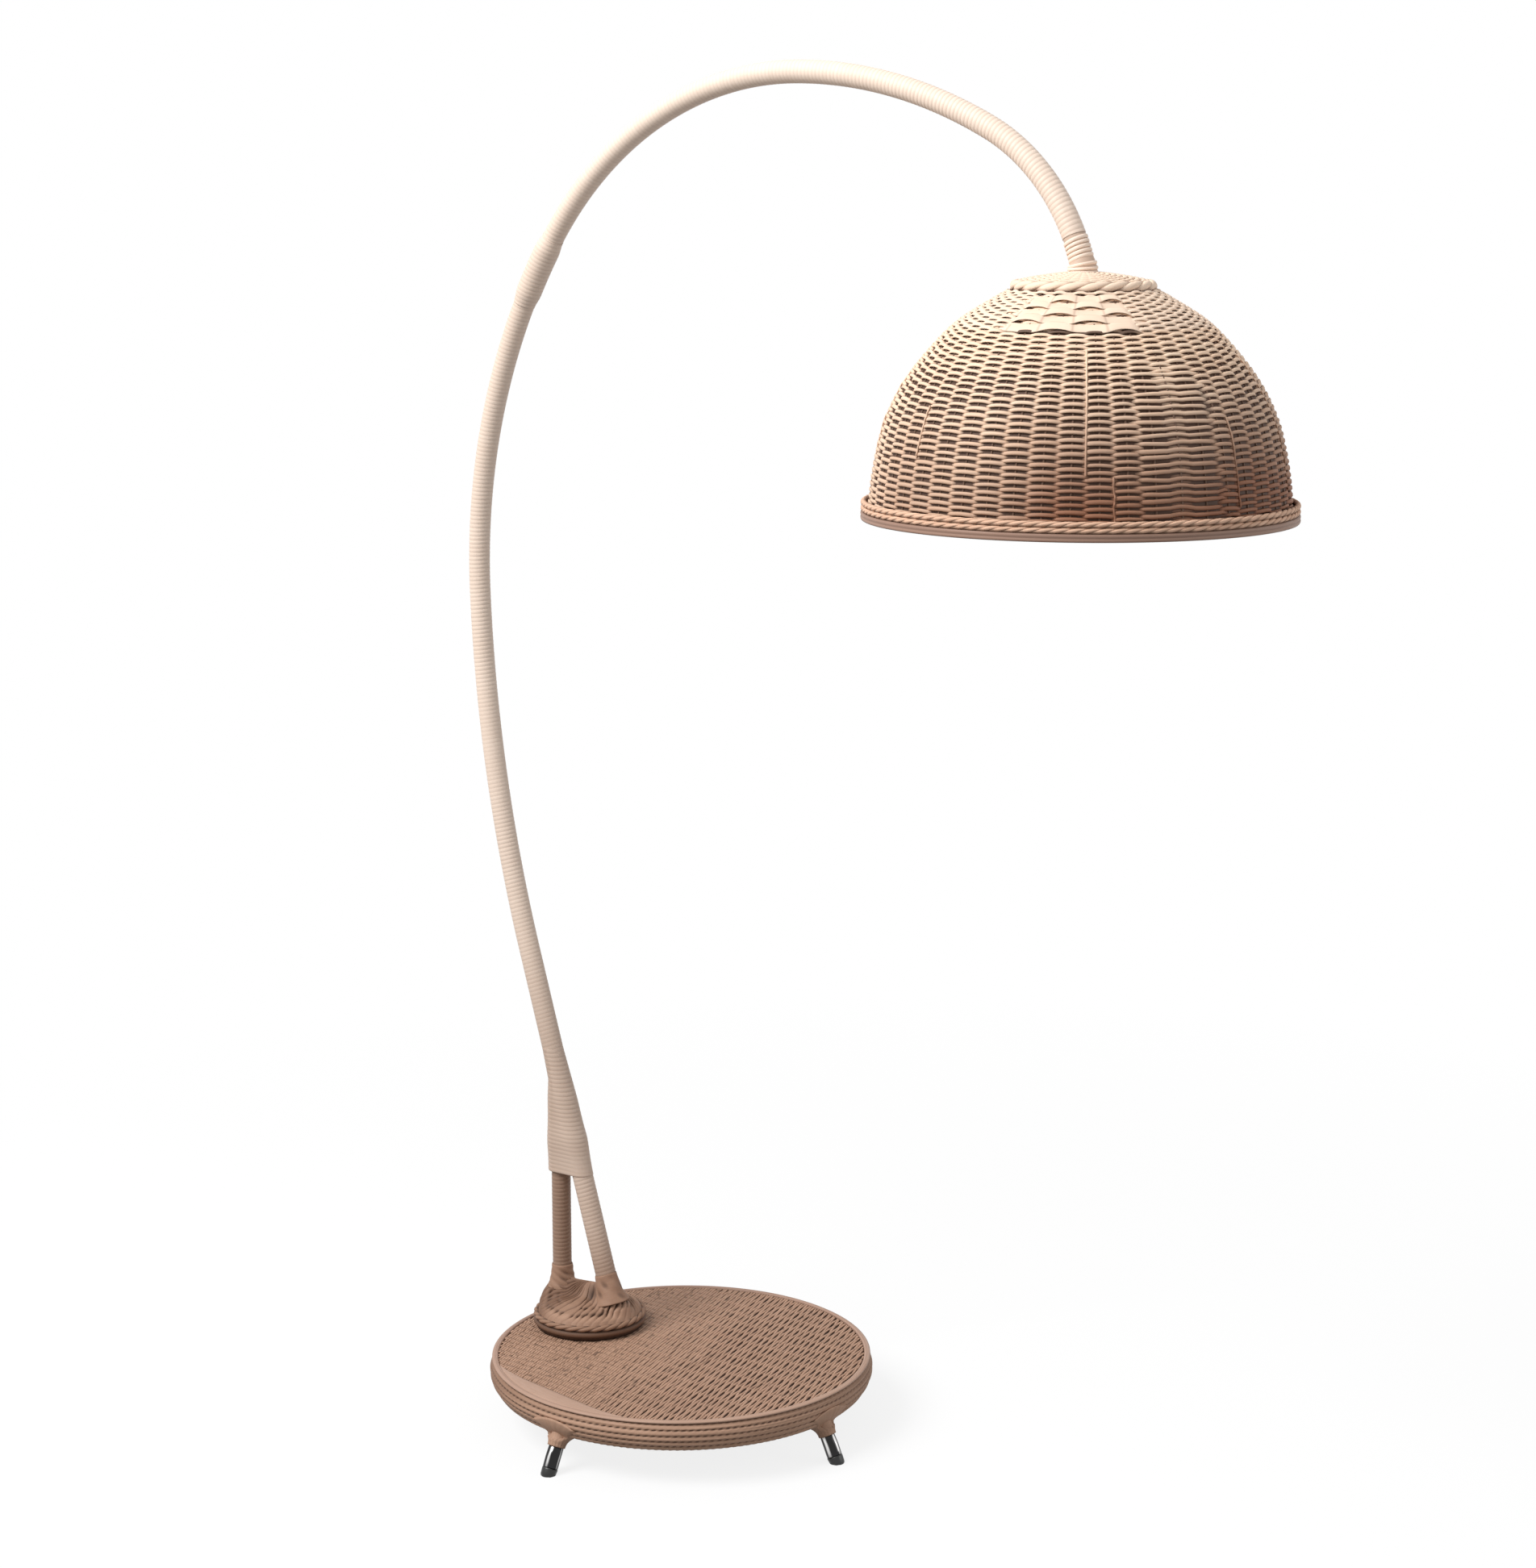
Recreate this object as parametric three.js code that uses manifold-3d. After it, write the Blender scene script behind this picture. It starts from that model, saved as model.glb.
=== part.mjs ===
// A rattan arc floor lamp: a weighted woven base on four chrome feet, a cane-wrapped
// steel arm with a forked foot, and an open woven dome shade over a screw-in bulb.
// Millimetres, +Z up. The arm bends in the XZ plane, with the shade towards +X.
import * as THREE from "three";
import { mergeVertices } from "three/addons/utils/BufferGeometryUtils.js";
import Module from "manifold-3d";

const wasm = await Module();
wasm.setup();

// Clearances, and the overrun that every cut shares
const seatGap = 0.3;
const cutOverrun = 2;

// Base: its layers are built up from the floor
const baseRadius = 254;
const footHeight = 48;
const panelThickness = 5;
const crossThickness = 6;
const crossArmWidth = 34;
const crossInset = 12;
const ballastThickness = 10;
const boardThickness = 16;
const hoopInset = 19;
const hoopThickness = 3;
const topWeaveThickness = 4;
const courseCount = 5;
const courseBulge = 2.6;
const baseTuck = 11;
const widestHeightShare = 0.62;
const rimBandInset = 2.7;
const rimBandWidth = 8;
const rimBandHeight = 5.5;
const rimBandRoundShare = 0.3;

// Feet: chrome rods that lean outwards, each with a rubber tip and a woven cuff
const footCount = 4;
const footOverhang = 8;
const footLeanDegrees = 25;
const footRadius = 10;
const footTipRadius = 10.4;
const footTipLength = 9;
const footTipRounding = 2.5;
const cuffRadius = 12.6;
const cuffLowerHeight = 33;
const cuffFlare = 9;

// Cable inlet under the base
const leadRadius = 3;
const leadClearance = 5;
const glandBoreClearance = 0.4;
const glandWall = 1.6;
const glandFlangeWidth = 8;
const glandFlangeThickness = 3;

// Forked foot of the arm: the pole leans back and a strut stands upright behind it
const forkSpread = 102.6;
const poleLeanDegrees = 17.1;
const strutInset = 40;
const tubeRadius = 12.5;
const tubeWall = 1.5;
const wrapThickness = 1.2;
const strutTubeRadius = 11;
const strutTubeWall = 2;
const strutWrapThickness = 1.7;
const flangeRadius = 64.5;
const flangeThickness = 6;
const spigotHeight = 42;
const spigotWall = 3.5;
const boltCount = 4;
const boltCircleRadius = 50;
const boltRadius = 4;
const boltHeadAcross = 13;
const boltHeadHeight = 5.3;

// Woven boss over the forked foot, with two ropes round its edge
const bossInset = 90;
const bossRadius = 70;
const bossHeight = 49;
const bossWall = 3;
const bossDomeShares = [
  [1, 0],
  [1, 0.06],
  [0.95, 0.3],
  [0.8, 0.62],
  [0.55, 0.86],
  [0.28, 0.97],
];
const bossSleeveHeight = 76;
const bossSleeveFlare = 13;
const bossSleeveEdge = 1.6;
const bossRopeRadius = 3.2;

// Arm: a straight and six arcs, each arc with its bend radius and its turn in degrees
const poleStraightLength = 530;
const backRadius = 1861;
const backTurnDegrees = 15;
const shoulderRadius = 759;
const shoulderTurnBelowJointDegrees = 33.9;
const shoulderTurnAboveJointDegrees = 3.7;
const climbRadius = 480;
const climbTurnDegrees = 55.2;
const crownRadius = 661;
const crownTurnDegrees = 25.7;
const dropRadius = 254;
const dropTurnDegrees = 45.8;

// Collar that binds the strut to the pole
const collarBottom = 298;
const collarThickness = 2.6;
const collarEdge = 0.7;
const collarTopAboveFork = 42;
const collarTaperShare = 0.6;
const strutEndBelowFork = 20;
const strutTubeEndBelowFork = 31;

// Joint in the arm: an inner coupler, two screws and a bound sleeve over it
const couplerHalfLength = 46;
const couplerWall = 3.2;
const jointScrewRadius = 2.3;
const jointScrewOffset = 26;
const jointScrewLength = 4.5;
const jointSleeveHalfLength = 50;
const jointSleeveThickness = 2.4;
const jointSleeveTaper = 14;
const jointSleeveEdgeShare = 0.25;

// Neck winding: flat cane round the last stretch of the arm
const neckTurns = 5;
const neckPitch = 5.1;
const caneWidth = 4.2;
const caneThickness = 2;

// End plug: a ball that turns the arm's heading into a nipple pointing straight down
const plugBallRadius = 15;
const plugBallDrop = 8;
const plugSeatDrop = 8;
const plugSpigotLength = 26;
const plugBore = 5;
const leadBend = 40;
const nippleRadius = 5;
const nippleBore = 4;

// What is clamped on the nipple, from the plug's seat down
const spacerRadius = 12.5;
const spacerThickness = 9.5;
const hubRadius = 22;
const hubThickness = 3;
const washerThickness = 1.5;
const clampNutAcross = 17;
const clampNutHeight = 6;
const holderRadius = 20;
const holderCapHeight = 18;
const holderCapNeck = 9;
const holderCapWall = 4;
const holderCapLip = 2;
const nippleEngagement = 8;
const holderBodyHeight = 46;
const holderFloor = 15;
const holderMouthClearance = 1;

// Bulb: a contact, a screw cap and a pear-shaped glass
const contactRadius = 5;
const contactHeight = 2.5;
const bulbCapRadius = 13.1;
const bulbCapLength = 24;
const bulbCapWall = 0.8;
const bulbCapOverlap = 5;
const bulbGlassRadius = 30;
const bulbGlassLength = 80;
const bulbGlassWall = 1.1;
const bulbNeckClearance = 0.5;
const bulbShares = [
  [0.45, 0.15],
  [0.78, 0.33],
  [1, 0.56],
  [0.92, 0.79],
  [0.62, 0.93],
];

// Shade: an open woven dome on a wire frame
const shadeTopRadius = 82;
const shadeRimRadius = 243;
const shadeDepth = 257;
const shadeWall = 3.4;
const shadeCrownDepth = 45;
const domeShares = [
  [0, 0],
  [0.115, 0.056],
  [0.379, 0.161],
  [0.602, 0.303],
  [0.767, 0.444],
  [0.878, 0.586],
  [0.935, 0.712],
  [0.975, 0.849],
  [1, 1],
];
const ringRodRadius = 3;
const ribRodRadius = 2;
const ribCount = 4;
const spiderArmWidth = 9;
const spiderArmCount = 4;
const bottomRingRise = 6;
const capWeaveThickness = 4;
const capWeaveRise = 7.3;
const capHoleClearance = 3.5;
const capRopeRadius = 6;
const capRopeRise = 6.1;
const rimRopeRadius = 3.6;
const rimRopeRise = 3;
const shadeBandWidth = 6;
const shadeBandDepth = 9;
const shadeBandRoundShare = 0.25;

// Facet and step counts
const baseFacets = 32;
const shadeFacets = 28;
const bossFacets = 24;
const ropeFacets = 6;
const armFacets = 12;
const smallFacets = 14;
const tinyFacets = 12;
const boltFacets = 8;
const straightSteps = 1;
const gentleArcSteps = 4;
const tightArcSteps = 6;
const climbArcSteps = 8;
const bendSteps = 3;
const windingStepsPerTurn = 24;
const collarLevels = 5;
const collarHalfFacets = 7;
const ribFacets = 4;
const ballRings = 8;

// Heights of the base's layers
const panelTop = footHeight + panelThickness;
const crossBottom = panelTop + seatGap;
const crossTop = crossBottom + crossThickness;
const ballastBottom = crossTop + seatGap;
const ballastTop = ballastBottom + ballastThickness;
const boardBottom = ballastTop + seatGap;
const boardTop = boardBottom + boardThickness;
const deckBottom = boardTop + seatGap;
const topWeaveTop = deckBottom + topWeaveThickness;
const flangeTop = deckBottom + flangeThickness;
const courseTop = deckBottom - seatGap;

// Radii and places that follow the base's radius
const hoopRadius = baseRadius - hoopInset;
const plateRadius = hoopRadius - hoopThickness - seatGap;
const crossReach = baseRadius - crossInset;
const rimBandOuter = baseRadius - rimBandInset;
const rimBandInner = rimBandOuter - rimBandWidth;
const topWeaveRadius = rimBandInner - seatGap;
const footReach = baseRadius + footOverhang;
const strutBack = baseRadius - strutInset;
const poleFootBack = strutBack - forkSpread;
const flangeBack = (strutBack + poleFootBack) / 2;
const bossBack = baseRadius - bossInset;

// Radii of the arm's layers
const tubeInner = tubeRadius - tubeWall;
const spigotRadius = tubeInner - seatGap;
const wrapInner = tubeRadius + seatGap;
const wrapRadius = wrapInner + wrapThickness;
const strutWrapInner = strutTubeRadius + seatGap;
const strutWrapRadius = strutWrapInner + strutWrapThickness;

const radians = THREE.MathUtils.degToRad;
const halfTurn = Math.PI;
const quarterTurn = halfTurn / 2;
const fullTurn = 2 * halfTurn;

// Materials
function finish(color, roughness, metalness = 0) {
  return new THREE.MeshStandardMaterial({ color, roughness, metalness });
}
const caneFinish = finish(0xd0b29c, 0.55);
const baseFinish = finish(0xa28269, 0.8);
const shadeFinish = finish(0xd8b99c, 0.75);
const steelFinish = finish(0x8b8f94, 0.4, 1);
const ironFinish = finish(0x4b4a48, 0.85, 0.6);
const chromeFinish = finish(0xc9cbce, 0.12, 1);
const rubberFinish = finish(0x222222, 0.85);
const boardFinish = finish(0xb98f63, 0.8);
const plasticFinish = finish(0x1d1c1b, 0.45);
const brassFinish = finish(0xb08d4a, 0.35, 1);
const glassFinish = finish(0xf6f1e6, 0.25);

// Solids from geometries, and back
function signedVolume(geometry) {
  const { position } = geometry.attributes;
  const [a, b, c] = [new THREE.Vector3(), new THREE.Vector3(), new THREE.Vector3()];
  let sum = 0;
  for (let i = 0; i < geometry.index.count; i += 3) {
    a.fromBufferAttribute(position, geometry.index.getX(i));
    b.fromBufferAttribute(position, geometry.index.getX(i + 1));
    c.fromBufferAttribute(position, geometry.index.getX(i + 2));
    sum += a.dot(b.cross(c));
  }
  return sum;
}

function solidFrom(geometry) {
  const bare = geometry.clone();
  bare.deleteAttribute("normal");
  bare.deleteAttribute("uv");
  const merged = mergeVertices(bare, 1e-4);
  const triVerts = new Uint32Array(merged.index.array);
  if (signedVolume(merged) < 0) {
    for (let i = 0; i < triVerts.length; i += 3) {
      [triVerts[i + 1], triVerts[i + 2]] = [triVerts[i + 2], triVerts[i + 1]];
    }
  }
  const vertProperties = merged.attributes.position.array;
  return new wasm.Manifold(new wasm.Mesh({ numProp: 3, vertProperties, triVerts }));
}

function geometryFrom(solid) {
  const mesh = solid.getMesh();
  const geometry = new THREE.BufferGeometry();
  geometry.setAttribute("position", new THREE.BufferAttribute(mesh.vertProperties, mesh.numProp));
  geometry.setIndex(new THREE.BufferAttribute(mesh.triVerts, 1));
  geometry.computeVertexNormals();
  return geometry;
}

// Basic shapes, all standing along +Z
function revolve(profile, facets) {
  const points = profile.map(([r, z]) => new THREE.Vector2(r, z));
  return solidFrom(new THREE.LatheGeometry(points, facets).rotateX(quarterTurn).rotateZ(quarterTurn));
}

function ringOf(profile, facets) {
  return revolve([...profile, profile[0]], facets);
}

function disc(radius, bottom, top, facets) {
  return revolve([[0, bottom], [radius, bottom], [radius, top], [0, top]], facets);
}

function tubeRing(outer, inner, bottom, top, facets) {
  return ringOf([[inner, bottom], [outer, bottom], [outer, top], [inner, top]], facets);
}

function rope(ringRadius, ropeRadius, height, facets) {
  const torus = new THREE.TorusGeometry(ringRadius, ropeRadius, ropeFacets, facets);
  return solidFrom(torus).translate([0, 0, height]);
}

// A rope's section is a polygon with its corners inwards and outwards
function ropeHalfHeight(ropeRadius) {
  return ropeRadius * Math.sin(fullTurn / ropeFacets);
}

function block(sizeX, sizeY, bottom, top) {
  const box = new THREE.BoxGeometry(sizeX, sizeY, top - bottom);
  return solidFrom(box.translate(0, 0, (top + bottom) / 2));
}

function hexPrism(acrossFlats, bottom, top) {
  const corner = acrossFlats / 2 / Math.cos(halfTurn / 6);
  return disc(corner, bottom, top, 6);
}

// Cut away all that lies below or above a height
function cutBelow(solid, height) {
  const width = 4 * baseRadius;
  return solid.subtract(block(width, width, height - width, height));
}

function cutAbove(solid, height) {
  const width = 4 * baseRadius;
  return solid.subtract(block(width, width, height, height + width));
}

// Turns a solid that stands on the origin about Y, in radians, then moves it to x, z
function leaned(solid, angle, x, z) {
  return solid.rotate([0, THREE.MathUtils.radToDeg(angle), 0]).translate([x, 0, z]);
}

// A route in the XZ plane: straights and arcs that meet smoothly, followed in steps.
// Heading 0 points up and grows towards +X. Between stations a route runs straight, so
// that what is swept along one part of it nests in what is swept along another.
class Route {
  constructor(x, z, heading, sections) {
    this.nodes = [{ at: 0, x, z, heading }];
    this.joins = [0];
    for (const section of sections) {
      for (let k = 0; k < section.steps; k += 1) this.step(section);
      this.joins.push(this.length);
    }
  }

  get length() {
    return this.nodes.at(-1).at;
  }

  step({ length, turn, steps }) {
    const from = this.nodes.at(-1);
    const half = turn / steps / 2;
    const arcLength = length / steps;
    const chord = half === 0 ? arcLength : (arcLength * Math.sin(half)) / half;
    const mean = from.heading + half;
    this.nodes.push({
      at: from.at + arcLength,
      x: from.x + chord * Math.sin(mean),
      z: from.z + chord * Math.cos(mean),
      heading: mean + half,
    });
  }

  place(at) {
    const inside = this.nodes.findIndex((node) => node.at >= at);
    const i = inside < 0 ? this.nodes.length - 1 : Math.max(inside, 1);
    const [a, b] = [this.nodes[i - 1], this.nodes[i]];
    const t = (at - a.at) / (b.at - a.at);
    const mix = (key) => a[key] + (b[key] - a[key]) * t;
    return { x: mix("x"), z: mix("z"), heading: mix("heading") };
  }

  stations(from, to) {
    const between = this.nodes.map((node) => node.at);
    return [from, ...between.filter((at) => at > from && at < to), to];
  }
}

class RouteCurve extends THREE.Curve {
  constructor(route, from, to) {
    super();
    this.route = route;
    this.list = route.stations(from, to);
  }

  placeAt(t) {
    const k = t * (this.list.length - 1);
    const i = Math.min(Math.floor(k), this.list.length - 2);
    return this.route.place(THREE.MathUtils.lerp(this.list[i], this.list[i + 1], k - i));
  }

  getPoint(t, target = new THREE.Vector3()) {
    const { x, z } = this.placeAt(t);
    return target.set(x, 0, z);
  }

  getTangent(t, target = new THREE.Vector3()) {
    const { heading } = this.placeAt(t);
    return target.set(Math.sin(heading), 0, Math.cos(heading));
  }

  getUtoTmapping(u) {
    return u;
  }
}

function circlePoints(radius, facets) {
  return Array.from({ length: facets }, (_, k) => {
    const angle = (fullTurn * k) / facets;
    return new THREE.Vector2(radius * Math.cos(angle), radius * Math.sin(angle));
  });
}

// A round bar or tube along a curve, in so many steps
function barAlong(extrudePath, steps, outer, inner, facets) {
  const section = new THREE.Shape(circlePoints(outer, facets));
  if (inner > 0) section.holes.push(new THREE.Path(circlePoints(inner, facets)));
  return solidFrom(new THREE.ExtrudeGeometry(section, { steps, extrudePath, bevelEnabled: false }));
}

function sweep(route, from, to, outer, inner = 0, facets = armFacets) {
  const curve = new RouteCurve(route, from, to);
  return barAlong(curve, curve.list.length - 1, outer, inner, facets);
}

// A closed skin over a row of rings, each an equal number of points, with flat ends
function skinOver(rings) {
  const count = rings[0].length;
  const position = rings.flat().flatMap((p) => [p.x, p.y, p.z]);
  const index = [];
  for (let i = 0; i + 1 < rings.length; i += 1) {
    for (let k = 0; k < count; k += 1) {
      const a = i * count + k;
      const b = i * count + ((k + 1) % count);
      index.push(a, b, b + count, a, b + count, a + count);
    }
  }
  const last = (rings.length - 1) * count;
  for (let k = 1; k + 1 < count; k += 1) {
    index.push(0, k + 1, k, last, last + k, last + k + 1);
  }
  const geometry = new THREE.BufferGeometry();
  geometry.setAttribute("position", new THREE.Float32BufferAttribute(position, 3));
  geometry.setIndex(index);
  return solidFrom(geometry);
}

// Directions at a place on a route: along it, square to it in its plane, and sideways
function axesAt({ heading }) {
  return {
    along: new THREE.Vector3(Math.sin(heading), 0, Math.cos(heading)),
    square: new THREE.Vector3(Math.cos(heading), 0, -Math.sin(heading)),
    side: new THREE.Vector3(0, 1, 0),
  };
}

function radialAt(place, angle) {
  const { square, side } = axesAt(place);
  return square.multiplyScalar(Math.cos(angle)).addScaledVector(side, Math.sin(angle));
}

function ringAt(route, at, radius) {
  const place = route.place(at);
  return Array.from({ length: armFacets }, (_, k) =>
    new THREE.Vector3(place.x, 0, place.z).addScaledVector(
      radialAt(place, (fullTurn * k) / armFacets),
      radius,
    ),
  );
}

// The arm's route, from the flange to its end
function arc(radius, degrees, steps) {
  return { length: radius * radians(degrees), turn: radians(degrees), steps };
}
const armArcs = [
  arc(backRadius, backTurnDegrees, gentleArcSteps),
  arc(shoulderRadius, shoulderTurnBelowJointDegrees, tightArcSteps),
  arc(shoulderRadius, shoulderTurnAboveJointDegrees, straightSteps),
  arc(climbRadius, climbTurnDegrees, climbArcSteps),
  arc(crownRadius, crownTurnDegrees, gentleArcSteps),
  arc(dropRadius, dropTurnDegrees, tightArcSteps),
];
const lean = radians(poleLeanDegrees);
const straightSection = { length: poleStraightLength, turn: 0, steps: straightSteps };
const arm = new Route(-poleFootBack, flangeTop, -lean, [straightSection, ...armArcs]);
const jointAt = arm.joins[3];
const neckLength = (neckTurns + 1) * neckPitch;
const neckStart = arm.length - neckLength;
const armEnd = arm.place(arm.length);

// The fork: the pole's centre at a height, and where it crosses the strut's
const poleX = (z) => -poleFootBack - (z - flangeTop) * Math.tan(lean);
const forkHeight = flangeTop + (strutBack - poleFootBack) / Math.tan(lean);

// The ball at the arm's end gives the shade its centre, and the seat its height
const shadeX = armEnd.x + plugBallDrop * Math.sin(armEnd.heading);
const ballZ = armEnd.z + plugBallDrop * Math.cos(armEnd.heading);
const seatZ = ballZ - plugSeatDrop;

// Heights on the nipple, from the seat down
const spacerTop = -seatGap;
const spacerBottom = spacerTop - spacerThickness;
const hubTop = spacerBottom - seatGap;
const hubBottom = hubTop - hubThickness;
const washerTop = hubBottom - seatGap;
const washerBottom = washerTop - washerThickness;
const nutTop = washerBottom - seatGap;
const nutBottom = nutTop - clampNutHeight;
const holderCapTop = nutBottom - seatGap;
const nippleEnd = holderCapTop - nippleEngagement;
const holderCapBottom = holderCapTop - holderCapHeight;
const holderTop = holderCapBottom - seatGap;
const holderBottom = holderTop - holderBodyHeight;
const contactTop = holderTop - holderFloor - seatGap;
const bulbCapTop = contactTop - contactHeight - seatGap;
const bulbCapBottom = bulbCapTop - bulbCapLength;
const bulbGlassTop = bulbCapBottom + bulbCapOverlap;
const topRingHeight = hubTop - hubThickness / 2;
const topRingRadius = shadeTopRadius - shadeWall - seatGap - ringRodRadius;
const domeTop = topRingHeight + ringRodRadius;
const domeBottom = domeTop - shadeDepth;

// The lead's route: up through the base, along the arm, round the ball and down
const leadJoinRise = leadBend / 3;
const leadX = poleX(flangeTop + leadJoinRise) + leadBend * (1 - Math.cos(lean));
const leadStart = footHeight - glandFlangeThickness;
const leadRiser = flangeTop + leadJoinRise - leadBend * Math.sin(lean) - leadStart;
const endTurn = halfTurn - armEnd.heading;
const endTangent = leadBend * Math.tan(endTurn / 2);
const leadFall = plugSeatDrop - endTangent - nippleEnd + leadRadius;
const lead = new Route(leadX, leadStart, 0, [
  { length: leadRiser, turn: 0, steps: straightSteps },
  { length: leadBend * lean, turn: -lean, steps: bendSteps },
  { length: poleStraightLength - leadJoinRise / Math.cos(lean), turn: 0, steps: straightSteps },
  ...armArcs,
  { length: plugBallDrop - endTangent, turn: 0, steps: straightSteps },
  { length: leadBend * endTurn, turn: endTurn, steps: bendSteps },
  { length: leadFall, turn: 0, steps: straightSteps },
]);

// The base is centred on the group's origin, and the shade on the seat of the end plug
const lamp = new THREE.Group();
lamp.name = "rattan_floor_lamp";
const shadeGroup = new THREE.Group();
shadeGroup.position.set(shadeX, 0, seatZ);
lamp.add(shadeGroup);

function add(group, name, solid, material) {
  const mesh = new THREE.Mesh(geometryFrom(solid), material);
  mesh.name = name;
  group.add(mesh);
}

// Cylinders that other pieces are cut by
function footAxisSolid(solid, k) {
  return leaned(solid, -radians(footLeanDegrees), footReach, 0).rotate([0, 0, (360 * k) / footCount]);
}

function everyFoot(make) {
  return Array.from({ length: footCount }, (_, k) => footAxisSolid(make(), k));
}

function footRodCuts() {
  const top = ballastBottom / Math.cos(radians(footLeanDegrees));
  const cuts = everyFoot(() => disc(footRadius + seatGap, 0, top, tinyFacets));
  return cuts.map((cut) => cutAbove(cut, crossBottom));
}

function leadCut(radius) {
  return disc(radius, footHeight - cutOverrun, flangeTop + cutOverrun, smallFacets).translate([
    leadX, 0, 0,
  ]);
}

function poleCut(radius) {
  const bar = disc(radius, -crossReach / 2, 2 * forkHeight, armFacets);
  return leaned(bar, -lean, -poleFootBack, flangeTop);
}

function strutCut(radius) {
  const top = forkHeight - strutEndBelowFork + seatGap;
  return disc(radius, footHeight, top, armFacets).translate([-strutBack, 0, 0]);
}

function boltSolids(make) {
  return Array.from({ length: boltCount }, (_, k) => {
    const angle = (fullTurn * (k + 0.5)) / boltCount;
    const x = boltCircleRadius * Math.cos(angle) - flangeBack;
    return make().translate([x, boltCircleRadius * Math.sin(angle), 0]);
  });
}

function boltHoles() {
  const radius = boltRadius + seatGap;
  return boltSolids(() =>
    disc(radius, ballastBottom - cutOverrun, flangeTop + cutOverrun, boltFacets),
  );
}

function without(solid, cuts) {
  return cuts.reduce((left, cut) => left.subtract(cut), solid);
}

// Base
function basePanel() {
  const glandHole = glandCollarRadius() + seatGap;
  return without(disc(hoopRadius, footHeight, panelTop, baseFacets), [
    ...footRodCuts(),
    leadCut(glandHole),
  ]);
}

function crossBars() {
  const along = block(2 * crossReach, crossArmWidth, crossBottom, crossTop);
  const across = block(crossArmWidth, 2 * crossReach, crossBottom, crossTop);
  return along.add(across).subtract(leadCut(leadRadius + leadClearance));
}

function plate(bottom, top) {
  return without(disc(plateRadius, bottom, top, baseFacets), [
    leadCut(leadRadius + leadClearance),
    ...boltHoles(),
  ]);
}

function baseHoop() {
  return tubeRing(hoopRadius, hoopRadius - hoopThickness, ballastBottom, boardTop, baseFacets);
}

function sideRadius(share) {
  const away = (share - widestHeightShare) / widestHeightShare;
  return baseRadius - baseTuck * away * away;
}

function sideCourses() {
  const height = (share) => footHeight + (courseTop - footHeight) * share;
  const groove = (share) => [sideRadius(share) - courseBulge, height(share)];
  const profile = [groove(0)];
  for (let i = 0; i < courseCount; i += 1) {
    const middle = (i + 0.5) / courseCount;
    profile.push([sideRadius(middle), height(middle)], groove((i + 1) / courseCount));
  }
  const inner = hoopRadius + seatGap;
  const ring = ringOf([...profile, [inner, courseTop], [inner, footHeight]], baseFacets);
  const reach = 2 * (crossReach + seatGap);
  const width = crossArmWidth + 2 * seatGap;
  return without(ring, [
    block(reach, width, crossBottom - seatGap, crossTop + seatGap),
    block(width, reach, crossBottom - seatGap, crossTop + seatGap),
    ...footRodCuts(),
  ]);
}

function rimBand() {
  const top = deckBottom + rimBandHeight;
  const round = rimBandRoundShare * rimBandHeight;
  const profile = [
    [rimBandInner, deckBottom],
    [rimBandOuter, deckBottom],
    [rimBandOuter, top - round],
    [rimBandOuter - round, top],
    [rimBandInner, top],
  ];
  return ringOf(profile, baseFacets);
}

function topWeave() {
  const [bottom, top] = [deckBottom - cutOverrun, topWeaveTop + cutOverrun];
  const hole = disc(flangeRadius + seatGap, bottom, top, baseFacets).translate([-flangeBack, 0, 0]);
  return disc(topWeaveRadius, deckBottom, topWeaveTop, baseFacets).subtract(hole);
}

// Feet
function footRod() {
  return disc(footRadius, footTipLength + seatGap, ballastBottom, tinyFacets);
}

function footTip() {
  const lowest = -footTipRadius * Math.tan(radians(footLeanDegrees));
  const profile = [
    [0, lowest],
    [footTipRadius, lowest],
    [footTipRadius, footTipLength - footTipRounding],
    [footTipRadius - footTipRounding / 2, footTipLength],
    [0, footTipLength],
  ];
  return revolve(profile, tinyFacets);
}

function footCuff() {
  const inner = footRadius + seatGap;
  const bottom = cuffLowerHeight / Math.cos(radians(footLeanDegrees));
  const rise = footHeight - cuffLowerHeight;
  const profile = [
    [inner, bottom],
    [cuffRadius, bottom],
    [cuffRadius + cuffFlare / 4, bottom + (2 * rise) / 3],
    [cuffRadius + 2 * cuffFlare, bottom + 2 * rise],
    [inner, bottom + 2 * rise],
  ];
  return ringOf(profile, tinyFacets);
}

function addFeet() {
  everyFoot(footRod).forEach((rod, k) => {
    add(lamp, `foot_rod_${k + 1}`, cutAbove(rod, crossBottom - seatGap), chromeFinish);
  });
  everyFoot(footTip).forEach((tip, k) => {
    add(lamp, `foot_tip_${k + 1}`, cutBelow(tip, 0), rubberFinish);
  });
  const envelope = disc(sideRadius(0), 0, footHeight, baseFacets);
  everyFoot(footCuff).forEach((cuff, k) => {
    const cut = cutAbove(cuff, footHeight - seatGap).intersect(envelope);
    add(lamp, `foot_cuff_${k + 1}`, cut, caneFinish);
  });
}

// Cable inlet
function glandCollarRadius() {
  return leadRadius + glandBoreClearance + glandWall;
}

function cableGland() {
  const bore = leadRadius + glandBoreClearance;
  const flangeBottom = footHeight - seatGap - glandFlangeThickness;
  const profile = [
    [bore, flangeBottom],
    [glandCollarRadius() + glandFlangeWidth, flangeBottom],
    [glandCollarRadius() + glandFlangeWidth, footHeight - seatGap],
    [glandCollarRadius(), footHeight - seatGap],
    [glandCollarRadius(), panelTop],
    [bore, panelTop],
  ];
  return ringOf(profile, smallFacets).translate([leadX, 0, 0]);
}

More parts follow.
